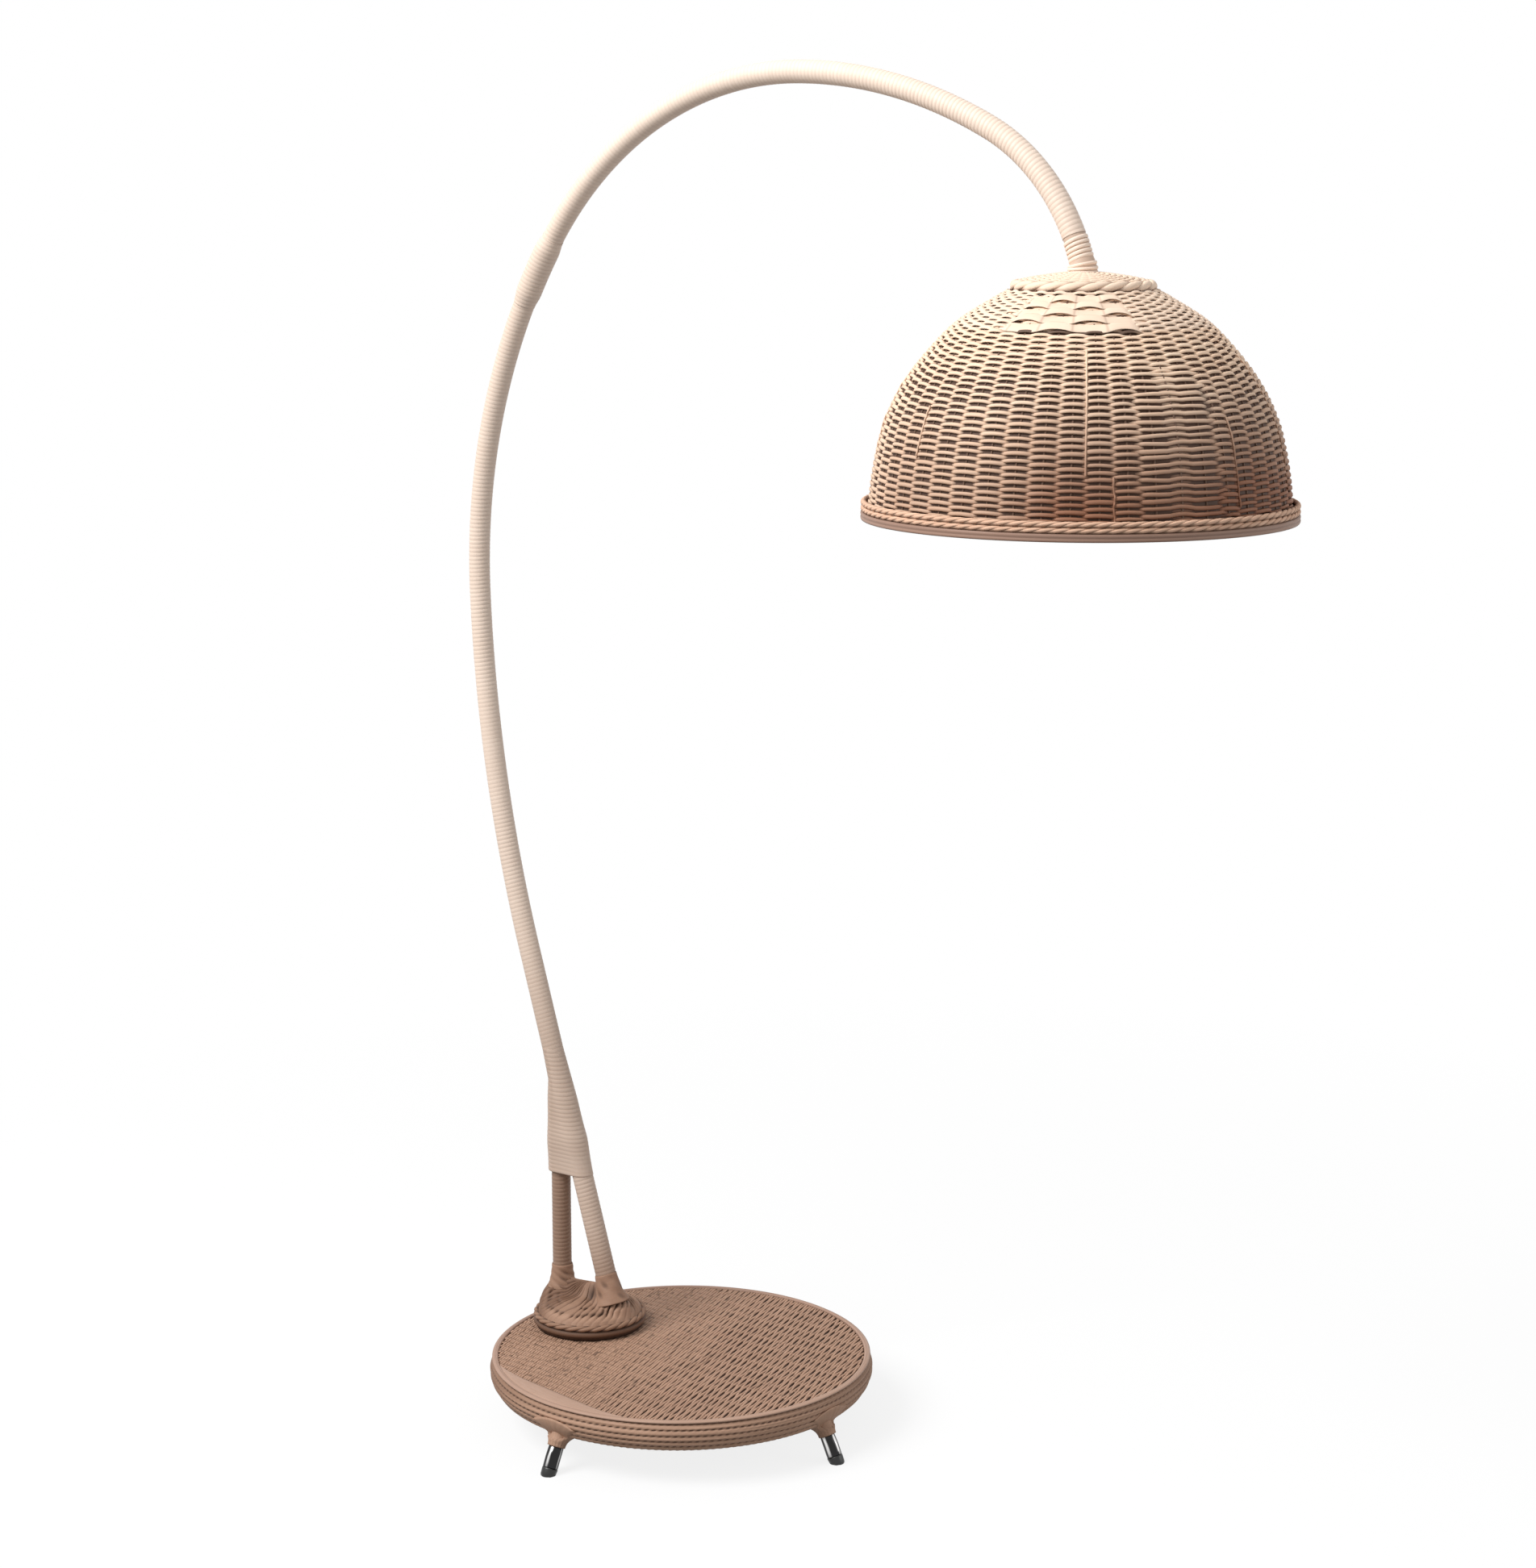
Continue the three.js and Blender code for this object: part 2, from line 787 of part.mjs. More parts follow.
// Forked foot
function footFlange() {
  const dish = disc(flangeRadius, deckBottom, flangeTop, baseFacets).translate([-flangeBack, 0, 0]);
  const strutSpigot = disc(
    strutTubeRadius - strutTubeWall - seatGap,
    flangeTop - cutOverrun,
    flangeTop + spigotHeight,
    armFacets,
  ).translate([-strutBack, 0, 0]);
  const poleSpigot = sweep(arm, -cutOverrun, spigotHeight, spigotRadius);
  const bore = spigotRadius - spigotWall;
  const poleBore = sweep(arm, -spigotHeight, spigotHeight + cutOverrun, bore);
  return without(dish.add(strutSpigot).add(poleSpigot), [
    poleBore,
    leadCut(leadRadius + leadClearance).intersect(
      disc(baseRadius, 0, flangeTop, baseFacets),
    ),
    ...boltHoles(),
  ]);
}

function flangeBolts() {
  const headBottom = flangeTop + seatGap;
  return boltSolids(() =>
    disc(boltRadius, ballastBottom + seatGap, headBottom + seatGap, boltFacets).add(
      hexPrism(boltHeadAcross, headBottom, headBottom + boltHeadHeight),
    ),
  );
}

function strutLayer(outer, inner, top) {
  const layer = tubeRing(outer, inner, flangeTop + seatGap, top, armFacets);
  return layer.translate([-strutBack, 0, 0]).subtract(poleCut(wrapRadius + seatGap));
}

function poleLayer(outer, inner, to) {
  return cutBelow(sweep(arm, -spigotHeight, to, outer, inner), flangeTop + seatGap);
}

function bossDome(radius, height) {
  const profile = bossDomeShares.map(([r, h]) => [r * radius, h * height]);
  return revolve([[0, 0], ...profile, [0, height]], bossFacets);
}

function sleeveCone(pieceRadius) {
  const profile = [
    [0, 0],
    [pieceRadius + 2 * bossSleeveFlare, 0],
    [pieceRadius + bossSleeveFlare, bossHeight],
    [pieceRadius + bossSleeveEdge + bossSleeveFlare / 4, (bossHeight + bossSleeveHeight) / 2],
    [pieceRadius + bossSleeveEdge, bossSleeveHeight],
    [0, bossSleeveHeight],
  ];
  return revolve(profile, armFacets);
}

function boss() {
  const bottom = topWeaveTop + seatGap;
  const strutSleeve = sleeveCone(strutWrapRadius).translate([-strutBack, 0, bottom]);
  const poleSleeve = leaned(sleeveCone(wrapRadius), -lean, poleX(bottom), bottom);
  const outer = bossDome(bossRadius, bossHeight).translate([-bossBack, 0, bottom]);
  const inner = bossDome(bossRadius - bossWall, bossHeight - bossWall);
  const sleeves = strutSleeve.add(poleSleeve);
  const inReach = disc(bossRadius, bottom, 2 * bossHeight + bottom, bossFacets);
  return without(outer.add(sleeves.intersect(inReach.translate([-bossBack, 0, 0]))), [
    inner.translate([-bossBack, 0, bottom]),
    poleCut(wrapRadius + seatGap),
    strutCut(strutWrapRadius + seatGap),
  ]);
}

function bossRope(k) {
  const ringRadius = bossRadius + seatGap + bossRopeRadius;
  const halfHeight = ropeHalfHeight(bossRopeRadius);
  const height = topWeaveTop + seatGap + halfHeight + k * (2 * halfHeight + seatGap);
  return rope(ringRadius, bossRopeRadius, height, bossFacets).translate([-bossBack, 0, 0]);
}

// Collar: rings round both members, which close on the pole alone above the fork
function collarRing(height, thickness) {
  const pole = poleX(height);
  const strut = Math.min(-strutBack, pole);
  const radius = wrapRadius / Math.cos(lean) + thickness;
  return Array.from({ length: 2 * collarHalfFacets }, (_, k) => {
    const onPole = k < collarHalfFacets;
    const angle = (halfTurn * (k - (onPole ? 0 : 1))) / (collarHalfFacets - 1) - halfTurn / 2;
    const wide = (onPole ? pole : strut) + radius * Math.cos(angle);
    return new THREE.Vector3(wide, radius * Math.sin(angle), height);
  });
}

function collar() {
  const top = forkHeight + collarTopAboveFork;
  const rings = Array.from({ length: collarLevels + 1 }, (_, k) => {
    const share = k / collarLevels;
    const taper = Math.max(0, share - collarTaperShare) / (1 - collarTaperShare);
    const thickness = THREE.MathUtils.lerp(collarThickness, collarEdge, taper);
    return collarRing(THREE.MathUtils.lerp(collarBottom, top, share), thickness);
  });
  return without(skinOver(rings), [
    poleCut(wrapRadius + seatGap),
    strutCut(strutWrapRadius + seatGap),
  ]);
}

// Joint: the screws stand square to the arm's plane, on its far side
function jointScrewAt(at, radius, inner, outer) {
  const place = arm.place(at);
  const pin = disc(radius, inner, outer, tinyFacets).rotate([-90, 0, 0]);
  return pin.translate([place.x, 0, place.z]);
}

function jointHoles() {
  const radius = jointScrewRadius + seatGap;
  return [-jointScrewOffset, jointScrewOffset].map((offset) =>
    jointScrewAt(jointAt + offset, radius, 0, wrapRadius + cutOverrun),
  );
}

function coupler() {
  const bar = sweep(
    arm,
    jointAt - couplerHalfLength,
    jointAt + couplerHalfLength,
    spigotRadius,
    spigotRadius - couplerWall,
  );
  return without(bar, jointHoles());
}

function jointScrew(side) {
  const outer = tubeRadius * Math.cos(halfTurn / armFacets);
  const inner = outer - jointScrewLength;
  return jointScrewAt(jointAt + side * jointScrewOffset, jointScrewRadius, inner, outer);
}

function jointSleeve() {
  const bore = wrapRadius + seatGap;
  const [from, to] = [jointAt - jointSleeveHalfLength, jointAt + jointSleeveHalfLength];
  const edges = [from, from + jointSleeveTaper, to - jointSleeveTaper, to];
  const list = [...new Set([...edges, ...arm.stations(from, to)])].sort((a, b) => a - b);
  const rings = list.map((at) => {
    const inFrom = Math.min(at - from, to - at) / jointSleeveTaper;
    const thickness = jointSleeveThickness * THREE.MathUtils.clamp(inFrom, jointSleeveEdgeShare, 1);
    return ringAt(arm, at, bore + thickness);
  });
  const cut = sweep(arm, from - cutOverrun, to + cutOverrun, bore);
  return skinOver(rings).subtract(cut);
}

// Neck winding: one unbroken flat cane, whose ends run straight for its own width
function windingRings() {
  const radius = tubeRadius + seatGap + caneThickness / 2;
  const steps = neckTurns * windingStepsPerTurn;
  const first = neckStart + neckPitch / 2;
  const rings = [];
  const centres = [];
  const ringOn = (place, centre, radial) => {
    const { along } = axesAt(place);
    return circlePoints(1, ropeFacets).map((p) =>
      centre
        .clone()
        .addScaledVector(along, (p.x * caneWidth) / 2)
        .addScaledVector(radial, (p.y * caneThickness) / 2),
    );
  };
  for (let i = 0; i <= steps; i += 1) {
    const turn = i / windingStepsPerTurn;
    const place = arm.place(first + turn * neckPitch);
    const radial = radialAt(place, fullTurn * turn);
    const centre = new THREE.Vector3(place.x, 0, place.z).addScaledVector(radial, radius);
    centres.push(centre);
    rings.push(ringOn(place, centre, radial));
  }
  const straightEnd = (from, towards, ring) => {
    const step = from.clone().sub(towards).setLength(caneWidth);
    return ring.map((p) => p.clone().add(step));
  };
  rings.unshift(straightEnd(centres[0], centres[1], rings[0]));
  rings.push(straightEnd(centres.at(-1), centres.at(-2), rings.at(-1)));
  return rings;
}

function leastGapBetweenTurns(rings) {
  let least = Infinity;
  rings.forEach((ring, i) => {
    const next = rings.slice(i + windingStepsPerTurn - 3, i + windingStepsPerTurn + 3);
    for (const other of next) {
      for (const p of ring) for (const q of other) least = Math.min(least, p.distanceTo(q));
    }
  });
  return least;
}

function neckWinding() {
  const rings = windingRings();
  const gap = leastGapBetweenTurns(rings);
  console.log(`neck winding: least gap to itself ${gap.toFixed(2)} mm`);
  return skinOver(rings);
}

// End plug: a spigot in the tube, a ball below it, and a bored nipple
function endPlug() {
  const ball = new THREE.SphereGeometry(plugBallRadius, smallFacets, ballRings).rotateX(halfTurn / 2);
  const backwards = armEnd.heading - halfTurn;
  const behind = disc(2 * plugBallRadius, -seatGap, 2 * plugBallRadius, smallFacets);
  const head = solidFrom(ball)
    .translate([shadeX, 0, ballZ])
    .subtract(leaned(behind, backwards, armEnd.x, armEnd.z).translate(tubeEndShift()));
  const below = disc(2 * plugBallRadius, -2 * plugBallRadius, 0, smallFacets);
  const seated = head.subtract(below.translate([shadeX, 0, seatZ]));
  const spigot = sweep(arm, arm.length - plugSpigotLength, arm.length + plugBallDrop / 2, spigotRadius);
  const nipple = disc(nippleRadius, nippleEnd, cutOverrun, smallFacets);
  const elbow = new THREE.SphereGeometry(plugBore, ballRings, ballRings - 2);
  const upBore = sweep(
    arm,
    arm.length - plugSpigotLength - cutOverrun,
    arm.length + plugBallDrop,
    plugBore,
  );
  const downBore = disc(nippleBore, nippleEnd - cutOverrun, plugSeatDrop, smallFacets);
  return without(seated.add(spigot).add(nipple.translate([shadeX, 0, seatZ])), [
    upBore,
    downBore.translate([shadeX, 0, seatZ]),
    solidFrom(elbow).translate([shadeX, 0, ballZ]),
  ]);
}

// The ball's top lies a clearance beyond the tube's end, along the arm's heading
function tubeEndShift() {
  const { along } = axesAt(armEnd);
  return along.multiplyScalar(2 * seatGap).toArray();
}

// On the nipple
function spacer() {
  return tubeRing(spacerRadius, nippleRadius + seatGap, spacerBottom, spacerTop, smallFacets);
}

function clampWasher() {
  return tubeRing(spacerRadius, nippleRadius + seatGap, washerBottom, washerTop, smallFacets);
}

function clampNut() {
  const hole = disc(nippleRadius + seatGap, nutBottom - cutOverrun, nutTop + cutOverrun, smallFacets);
  return hexPrism(clampNutAcross, nutBottom, nutTop).subtract(hole);
}

function holderCap() {
  const inner = holderRadius - holderCapWall;
  const shoulder = holderCapBottom + holderCapHeight / 2;
  const bore = nippleRadius + seatGap;
  const profile = [
    [bore, holderCapTop],
    [bore, nippleEnd],
    [inner, nippleEnd],
    [inner, holderCapBottom],
    [holderRadius, holderCapBottom],
    [holderRadius, shoulder],
    [holderCapNeck + holderCapWall, holderCapTop - holderCapLip],
    [holderCapNeck, holderCapTop],
  ];
  return ringOf(profile, smallFacets);
}

function holderBody() {
  const bore = bulbCapRadius + holderMouthClearance;
  const floor = holderTop - holderFloor;
  const profile = [
    [0, holderTop],
    [holderRadius, holderTop],
    [holderRadius, holderBottom],
    [bore, holderBottom],
    [bore, floor],
    [0, floor],
  ];
  return revolve(profile, smallFacets);
}

// Bulb
function bulbContact() {
  return disc(contactRadius, contactTop - contactHeight, contactTop, tinyFacets);
}

function bulbCap() {
  const inner = bulbCapRadius - bulbCapWall;
  const roof = bulbCapTop - 2 * bulbCapWall;
  const profile = [
    [0, bulbCapTop],
    [contactRadius, bulbCapTop],
    [bulbCapRadius, bulbCapTop - bulbCapOverlap],
    [bulbCapRadius, bulbCapBottom],
    [inner, bulbCapBottom],
    [inner, bulbCapTop - bulbCapOverlap - bulbCapWall],
    [contactRadius, roof],
    [0, roof],
  ];
  return revolve(profile, smallFacets);
}

function bulbGlass() {
  const neck = bulbCapRadius - bulbCapWall - bulbNeckClearance;
  const skin = (inset) => [
    [neck - inset, bulbGlassTop],
    [neck - inset, bulbCapBottom - seatGap],
    ...bulbShares.map(([r, h]) => [
      r * bulbGlassRadius - inset,
      bulbGlassTop - h * (bulbGlassLength - inset),
    ]),
    [0, bulbGlassTop - bulbGlassLength + inset],
  ];
  return revolve([...skin(0).reverse(), ...skin(bulbGlassWall)], tinyFacets);
}

// Shade
function domePoint([r, h]) {
  return new THREE.Vector2(
    shadeTopRadius + r * (shadeRimRadius - shadeTopRadius),
    domeTop - h * shadeDepth,
  );
}

// The dome's outline moved inwards, square to itself
function domeInset(inset) {
  const points = domeShares.map(domePoint);
  return points.map((point, i) => {
    const before = points[Math.max(i - 1, 0)];
    const after = points[Math.min(i + 1, points.length - 1)];
    const along = after.clone().sub(before).normalize();
    return point.clone().add(new THREE.Vector2(along.y, -along.x).multiplyScalar(inset));
  });
}

function domeWall() {
  const pairs = (points) => points.map((p) => [p.x, p.y]);
  const inner = domeInset(shadeWall).reverse();
  return ringOf([...pairs(domeInset(0)), ...pairs(inner)], shadeFacets);
}

// The crown's flat strands and the finer weave below them meet at a level step
function crownWeave() {
  return cutBelow(domeWall(), domeTop - shadeCrownDepth);
}

function shadeWeave() {
  return cutAbove(domeWall(), domeTop - shadeCrownDepth - seatGap);
}

// Where the outline, moved inwards, passes the bottom ring's height
function insetAtBottomRing(inset) {
  const [above, below] = domeInset(inset).slice(-2);
  const height = domeBottom + bottomRingRise;
  return above.clone().lerp(below, (above.y - height) / (above.y - below.y));
}

// A rib follows the wall's outline in straight stretches, from its weld at the top ring
function frameRib() {
  const inset = shadeWall + seatGap + ribRodRadius;
  const bends = domeInset(inset).slice(1, -1);
  const topRing = new THREE.Vector2(topRingRadius, topRingHeight);
  const weld = bends[0].clone().sub(topRing).setLength(ringRodRadius + seatGap);
  const centres = [topRing.add(weld), ...bends, insetAtBottomRing(inset)];
  const rings = centres.map((centre, i) => {
    const before = centres[Math.max(i - 1, 0)];
    const after = centres[Math.min(i + 1, centres.length - 1)];
    const along = after.clone().sub(before).normalize();
    return circlePoints(ribRodRadius, ribFacets).map(
      (p) => new THREE.Vector3(centre.x + along.y * p.x, p.y, centre.y - along.x * p.x),
    );
  });
  return skinOver(rings);
}

function shadeRibs() {
  const bottom = insetAtBottomRing(shadeWall + seatGap + ringRodRadius);
  const bottomRing = rope(bottom.x, ringRodRadius, bottom.y, shadeFacets);
  const rib = frameRib();
  const ribs = Array.from({ length: ribCount }, (_, k) => rib.rotate([0, 0, (360 * k) / ribCount]));
  return ribs.reduce((all, one) => all.add(one), bottomRing);
}

function shadeSpider() {
  const topRing = rope(topRingRadius, ringRodRadius, topRingHeight, shadeFacets);
  const hub = disc(hubRadius, hubBottom, hubTop, smallFacets);
  const hole = disc(nippleRadius + seatGap, hubBottom - cutOverrun, hubTop + cutOverrun, smallFacets);
  let spider = hub.add(topRing);
  for (let k = 0; k < spiderArmCount / 2; k += 1) {
    const bar = block(2 * topRingRadius, spiderArmWidth, hubBottom, hubTop);
    spider = spider.add(bar.rotate([0, 0, (360 * k) / spiderArmCount]));
  }
  return spider.subtract(hole);
}

function capWeave() {
  const outer = shadeTopRadius - shadeWall - 2 * ringRodRadius - seatGap;
  const inner = spacerRadius + capHoleClearance;
  const bottom = hubTop + seatGap;
  const profile = [
    [inner, bottom + capWeaveRise],
    [hubRadius, bottom + capWeaveRise],
    [outer, bottom],
    [outer, bottom + capWeaveThickness],
    [hubRadius, bottom + capWeaveRise + capWeaveThickness],
    [inner, bottom + capWeaveRise + capWeaveThickness],
  ];
  return ringOf(profile, shadeFacets);
}

function capRope() {
  return rope(shadeTopRadius - seatGap, capRopeRadius, domeTop + capRopeRise, shadeFacets);
}

function rimRope(k) {
  const radius = shadeRimRadius + seatGap + rimRopeRadius;
  const spacing = 2 * ropeHalfHeight(rimRopeRadius) + seatGap;
  return rope(radius, rimRopeRadius, domeBottom + rimRopeRise + k * spacing, shadeFacets);
}

function shadeBand() {
  const outer = shadeRimRadius + seatGap + 2 * rimRopeRadius;
  const inner = outer - shadeBandWidth;
  const top = domeBottom + rimRopeRise - ropeHalfHeight(rimRopeRadius) - seatGap;
  const bottom = top - shadeBandDepth;
  const round = shadeBandRoundShare * shadeBandWidth;
  const profile = [
    [inner, bottom],
    [outer - round, bottom],
    [outer, bottom + round],
    [outer, top],
    [inner, top],
  ];
  return ringOf(profile, shadeFacets);
}

// The assembly
add(lamp, "base_panel", basePanel(), boardFinish);
add(lamp, "base_cross_bars", crossBars(), steelFinish);
add(lamp, "base_ballast", plate(ballastBottom, ballastTop), ironFinish);
add(lamp, "base_board", plate(boardBottom, boardTop), boardFinish);
add(lamp, "base_hoop", baseHoop(), steelFinish);
add(lamp, "base_side_courses", sideCourses(), baseFinish);
add(lamp, "base_rim_band", rimBand(), caneFinish);
add(lamp, "base_top_weave", topWeave(), baseFinish);
addFeet();
add(lamp, "cable_gland", cableGland(), rubberFinish);
add(lamp, "foot_flange", footFlange(), steelFinish);
flangeBolts().forEach((bolt, k) => add(lamp, `flange_bolt_${k + 1}`, bolt, steelFinish));
add(lamp, "boss_weave", boss(), baseFinish);
add(lamp, "boss_rope_lower", bossRope(0), baseFinish);
add(lamp, "boss_rope_upper", bossRope(1), baseFinish);
add(
  lamp,
  "strut_tube",
  strutLayer(strutTubeRadius, strutTubeRadius - strutTubeWall, forkHeight - strutTubeEndBelowFork),
  steelFinish,
);
add(
  lamp,
  "strut_wrap",
  strutLayer(strutWrapRadius, strutWrapInner, forkHeight - strutEndBelowFork),
  caneFinish,
);
add(lamp, "collar_binding", collar(), caneFinish);
add(
  lamp,
  "pole_tube",
  without(poleLayer(tubeRadius, tubeInner, jointAt - seatGap / 2), jointHoles()),
  steelFinish,
);
add(lamp, "pole_wrap", poleLayer(wrapRadius, wrapInner, jointAt - seatGap / 2), caneFinish);
add(lamp, "joint_coupler", coupler(), steelFinish);
add(lamp, "joint_screw_lower", jointScrew(-1), steelFinish);
add(lamp, "joint_screw_upper", jointScrew(1), steelFinish);
add(lamp, "joint_sleeve", jointSleeve(), caneFinish);
add(
  lamp,
  "arc_tube",
  without(sweep(arm, jointAt + seatGap / 2, arm.length, tubeRadius, tubeInner), jointHoles()),
  steelFinish,
);
add(lamp, "arc_wrap", sweep(arm, jointAt + seatGap / 2, neckStart, wrapRadius, wrapInner), caneFinish);
add(lamp, "neck_winding", neckWinding(), caneFinish);
add(lamp, "end_plug", endPlug(), brassFinish);
add(lamp, "lead", sweep(lead, 0, lead.length, leadRadius, 0, ropeFacets), plasticFinish);
add(shadeGroup, "spacer", spacer(), brassFinish);
add(shadeGroup, "clamp_washer", clampWasher(), brassFinish);
add(shadeGroup, "clamp_nut", clampNut(), brassFinish);
add(shadeGroup, "holder_cap", holderCap(), plasticFinish);
add(shadeGroup, "holder_body", holderBody(), plasticFinish);
add(shadeGroup, "bulb_contact", bulbContact(), brassFinish);
add(shadeGroup, "bulb_cap", bulbCap(), brassFinish);
add(shadeGroup, "bulb_glass", bulbGlass(), glassFinish);
add(shadeGroup, "shade_spider", shadeSpider(), steelFinish);
add(shadeGroup, "shade_ribs", shadeRibs(), steelFinish);
add(shadeGroup, "shade_crown_weave", crownWeave(), shadeFinish);
add(shadeGroup, "shade_weave", shadeWeave(), shadeFinish);
add(shadeGroup, "shade_cap_weave", capWeave(), shadeFinish);
add(shadeGroup, "shade_cap_rope", capRope(), shadeFinish);
add(shadeGroup, "shade_rim_rope_lower", rimRope(0), shadeFinish);
add(shadeGroup, "shade_rim_rope_upper", rimRope(1), shadeFinish);
add(shadeGroup, "shade_band", shadeBand(), shadeFinish);

// The part stands on the middle of its own box
const bounds = new THREE.Box3().setFromObject(lamp);
lamp.position.x = -(bounds.min.x + bounds.max.x) / 2;
lamp.position.y = -(bounds.min.y + bounds.max.y) / 2;

export default lamp;
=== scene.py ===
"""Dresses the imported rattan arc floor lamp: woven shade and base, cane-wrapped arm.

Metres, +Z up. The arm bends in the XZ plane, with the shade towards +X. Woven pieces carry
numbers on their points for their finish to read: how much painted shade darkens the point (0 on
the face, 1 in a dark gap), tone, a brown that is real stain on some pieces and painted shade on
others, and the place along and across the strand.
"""
import math

import bmesh
import bpy
import numpy as np
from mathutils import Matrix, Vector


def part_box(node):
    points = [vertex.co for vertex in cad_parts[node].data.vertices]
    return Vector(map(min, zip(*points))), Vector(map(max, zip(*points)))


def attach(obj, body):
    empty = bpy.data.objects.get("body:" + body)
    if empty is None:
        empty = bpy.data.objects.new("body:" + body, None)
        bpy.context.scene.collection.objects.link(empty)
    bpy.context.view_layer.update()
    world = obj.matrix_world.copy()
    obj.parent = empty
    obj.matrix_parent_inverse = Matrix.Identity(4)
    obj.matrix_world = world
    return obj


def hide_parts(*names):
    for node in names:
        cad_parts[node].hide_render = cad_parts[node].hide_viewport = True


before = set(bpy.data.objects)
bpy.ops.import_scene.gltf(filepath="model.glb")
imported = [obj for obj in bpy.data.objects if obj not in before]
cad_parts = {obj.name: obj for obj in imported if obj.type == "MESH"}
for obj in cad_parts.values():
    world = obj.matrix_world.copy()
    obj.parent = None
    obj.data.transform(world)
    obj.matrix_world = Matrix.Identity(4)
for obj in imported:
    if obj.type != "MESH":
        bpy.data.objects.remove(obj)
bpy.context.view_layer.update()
rng = np.random.default_rng(7)
FULL_TURN = 2 * math.pi
UP = np.array([0.0, 0.0, 1.0])

# Camera, solved from the circles of the base and the shade's rim
CAMERA_PLACE = (2.3455, -3.0253, 1.6116)
CAMERA_AZIMUTH, CAMERA_PITCH = 38.94, 10.73
CAMERA_LENS, CAMERA_SENSOR = 72.32, 36


def box(node):
    """Lowest and highest corner of a CAD node, as arrays."""
    return [np.array(corner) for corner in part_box(node)]


def middle(node):
    return sum(box(node)) / 2


def outer_radius(node):
    low, high = box(node)
    return (high[0] - low[0]) / 2


# Shapes
def unit(vectors):
    return vectors / np.linalg.norm(vectors, axis=-1, keepdims=True)


def round_angles(count):
    return FULL_TURN * np.arange(count) / count


def from_side(angle, side):
    """How far an angle lies from the one given, from half a turn back to half on."""
    return (angle - side + math.pi) % FULL_TURN - math.pi


def about(centre, radius, angle, height):
    """Places at a radius, angle and height about an upright axis."""
    x = centre[0] + radius * np.cos(angle)
    y = centre[1] + radius * np.sin(angle)
    return np.stack(np.broadcast_arrays(x, y, height), -1)


def bell(away, width):
    return np.exp(-(away / width) ** 2)


def eased(share):
    return share * share * (3 - 2 * share)


def alternating(count):
    """-1 and 1 in turn, as a column."""
    return np.where(np.arange(count) % 2, 1, -1)[:, None]


def square_wave(phase, sharpness):
    """A wave between -1 and 1, one cycle each full turn of phase, with flattened tops."""
    return np.tanh(sharpness * np.sin(phase)) / math.tanh(sharpness)


def smooth_line(points, count):
    """Points evenly spaced along a Catmull-Rom curve through the given ones."""
    points = np.array(points, float)
    padded = np.vstack([2 * points[0] - points[1], points, 2 * points[-1] - points[-2]])
    t = np.linspace(0, 1, 24, endpoint=False)[:, None]
    fine = [0.5 * (2 * p1 + (p2 - p0) * t + (2 * p0 - 5 * p1 + 4 * p2 - p3) * t**2
                   + (3 * p1 - p0 - 3 * p2 + p3) * t**3)
            for p0, p1, p2, p3 in zip(padded, padded[1:], padded[2:], padded[3:])]
    fine = np.vstack([*fine, points[-1:]])
    lengths = np.r_[0, np.cumsum(np.linalg.norm(np.diff(fine, axis=0), axis=1))]
    at = np.linspace(0, lengths[-1], count)
    return np.stack([np.interp(at, lengths, values) for values in fine.T], -1), at


def drift(shape, scale, period=None):
    """Smooth random values from -1 to 1 along the last axis, one wave every scale steps."""
    count = shape[-1]
    knots = max(int(count / scale), 2) + 1
    values = rng.uniform(-1, 1, (*shape[:-1], knots))
    if period:
        values[..., -1] = values[..., 0]
    at = np.linspace(0, knots - 1, count, endpoint=not period)
    left = np.minimum(at.astype(int), knots - 2)
    part = eased(at - left)
    return values[..., left] * (1 - part) + values[..., left + 1] * part


# Meshes
def grid_faces(rings, corners, closed=False, twist=0):
    """Quads between rings of so many corners. With a twist, a ring's last corner joins
    the first corner of the ring that many places on, as in a helix."""
    first = np.arange(rings if closed else rings - 1 - twist)[:, None]
    after = (first + 1) % rings
    k = np.arange(corners)
    onward = np.where(k == corners - 1, twist, 0)
    k_next = (k + 1) % corners
    return np.stack([
        first * corners + k, (first + onward) * corners + k_next,
        (after + onward) * corners + k_next, after * corners + k], -1).reshape(-1, 4)


def add_object(name, data):
    made = bpy.data.objects.new(name, data)
    bpy.context.scene.collection.objects.link(made)
    return made


def piece(name, points, faces, material, body="root", replaces=None, slot=None, merge=0.0,
          **attributes):
    """A mesh object in the row frame. Its attributes broadcast to the shape of its points."""
    mesh = bpy.data.meshes.new(name)
    mesh.from_pydata(points.reshape(-1, 3).tolist(), [], faces)
    for key, values in attributes.items():
        layer = mesh.attributes.new(key, "FLOAT", "POINT")
        values = np.broadcast_to(values, points.shape[:-1])
        layer.data.foreach_set("value", values.astype(np.float32).ravel())
    work = bmesh.new()
    work.from_mesh(mesh)
    if merge:
        bmesh.ops.remove_doubles(work, verts=work.verts, dist=merge)
    bmesh.ops.recalc_face_normals(work, faces=work.faces)
    work.to_mesh(mesh)
    work.free()
    mesh.polygons.foreach_set("use_smooth", np.full(len(mesh.polygons), True))
    mesh.materials.append(material)
    made = add_object(name, mesh)
    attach(made, body)
    if replaces:
        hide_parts(replaces)


def surface(name, rings, material, closed=False, twist=0, capped=False, **settings):
    """A skin over rings of points, in an array of (rings, corners, 3)."""
    count, corners = rings.shape[:2]
    faces = grid_faces(count, corners, closed, twist).tolist()
    if capped:
        faces += [list(range(corners)), list(range((count - 1) * corners, count * corners))]
    piece(name, rings, faces, material, **settings)


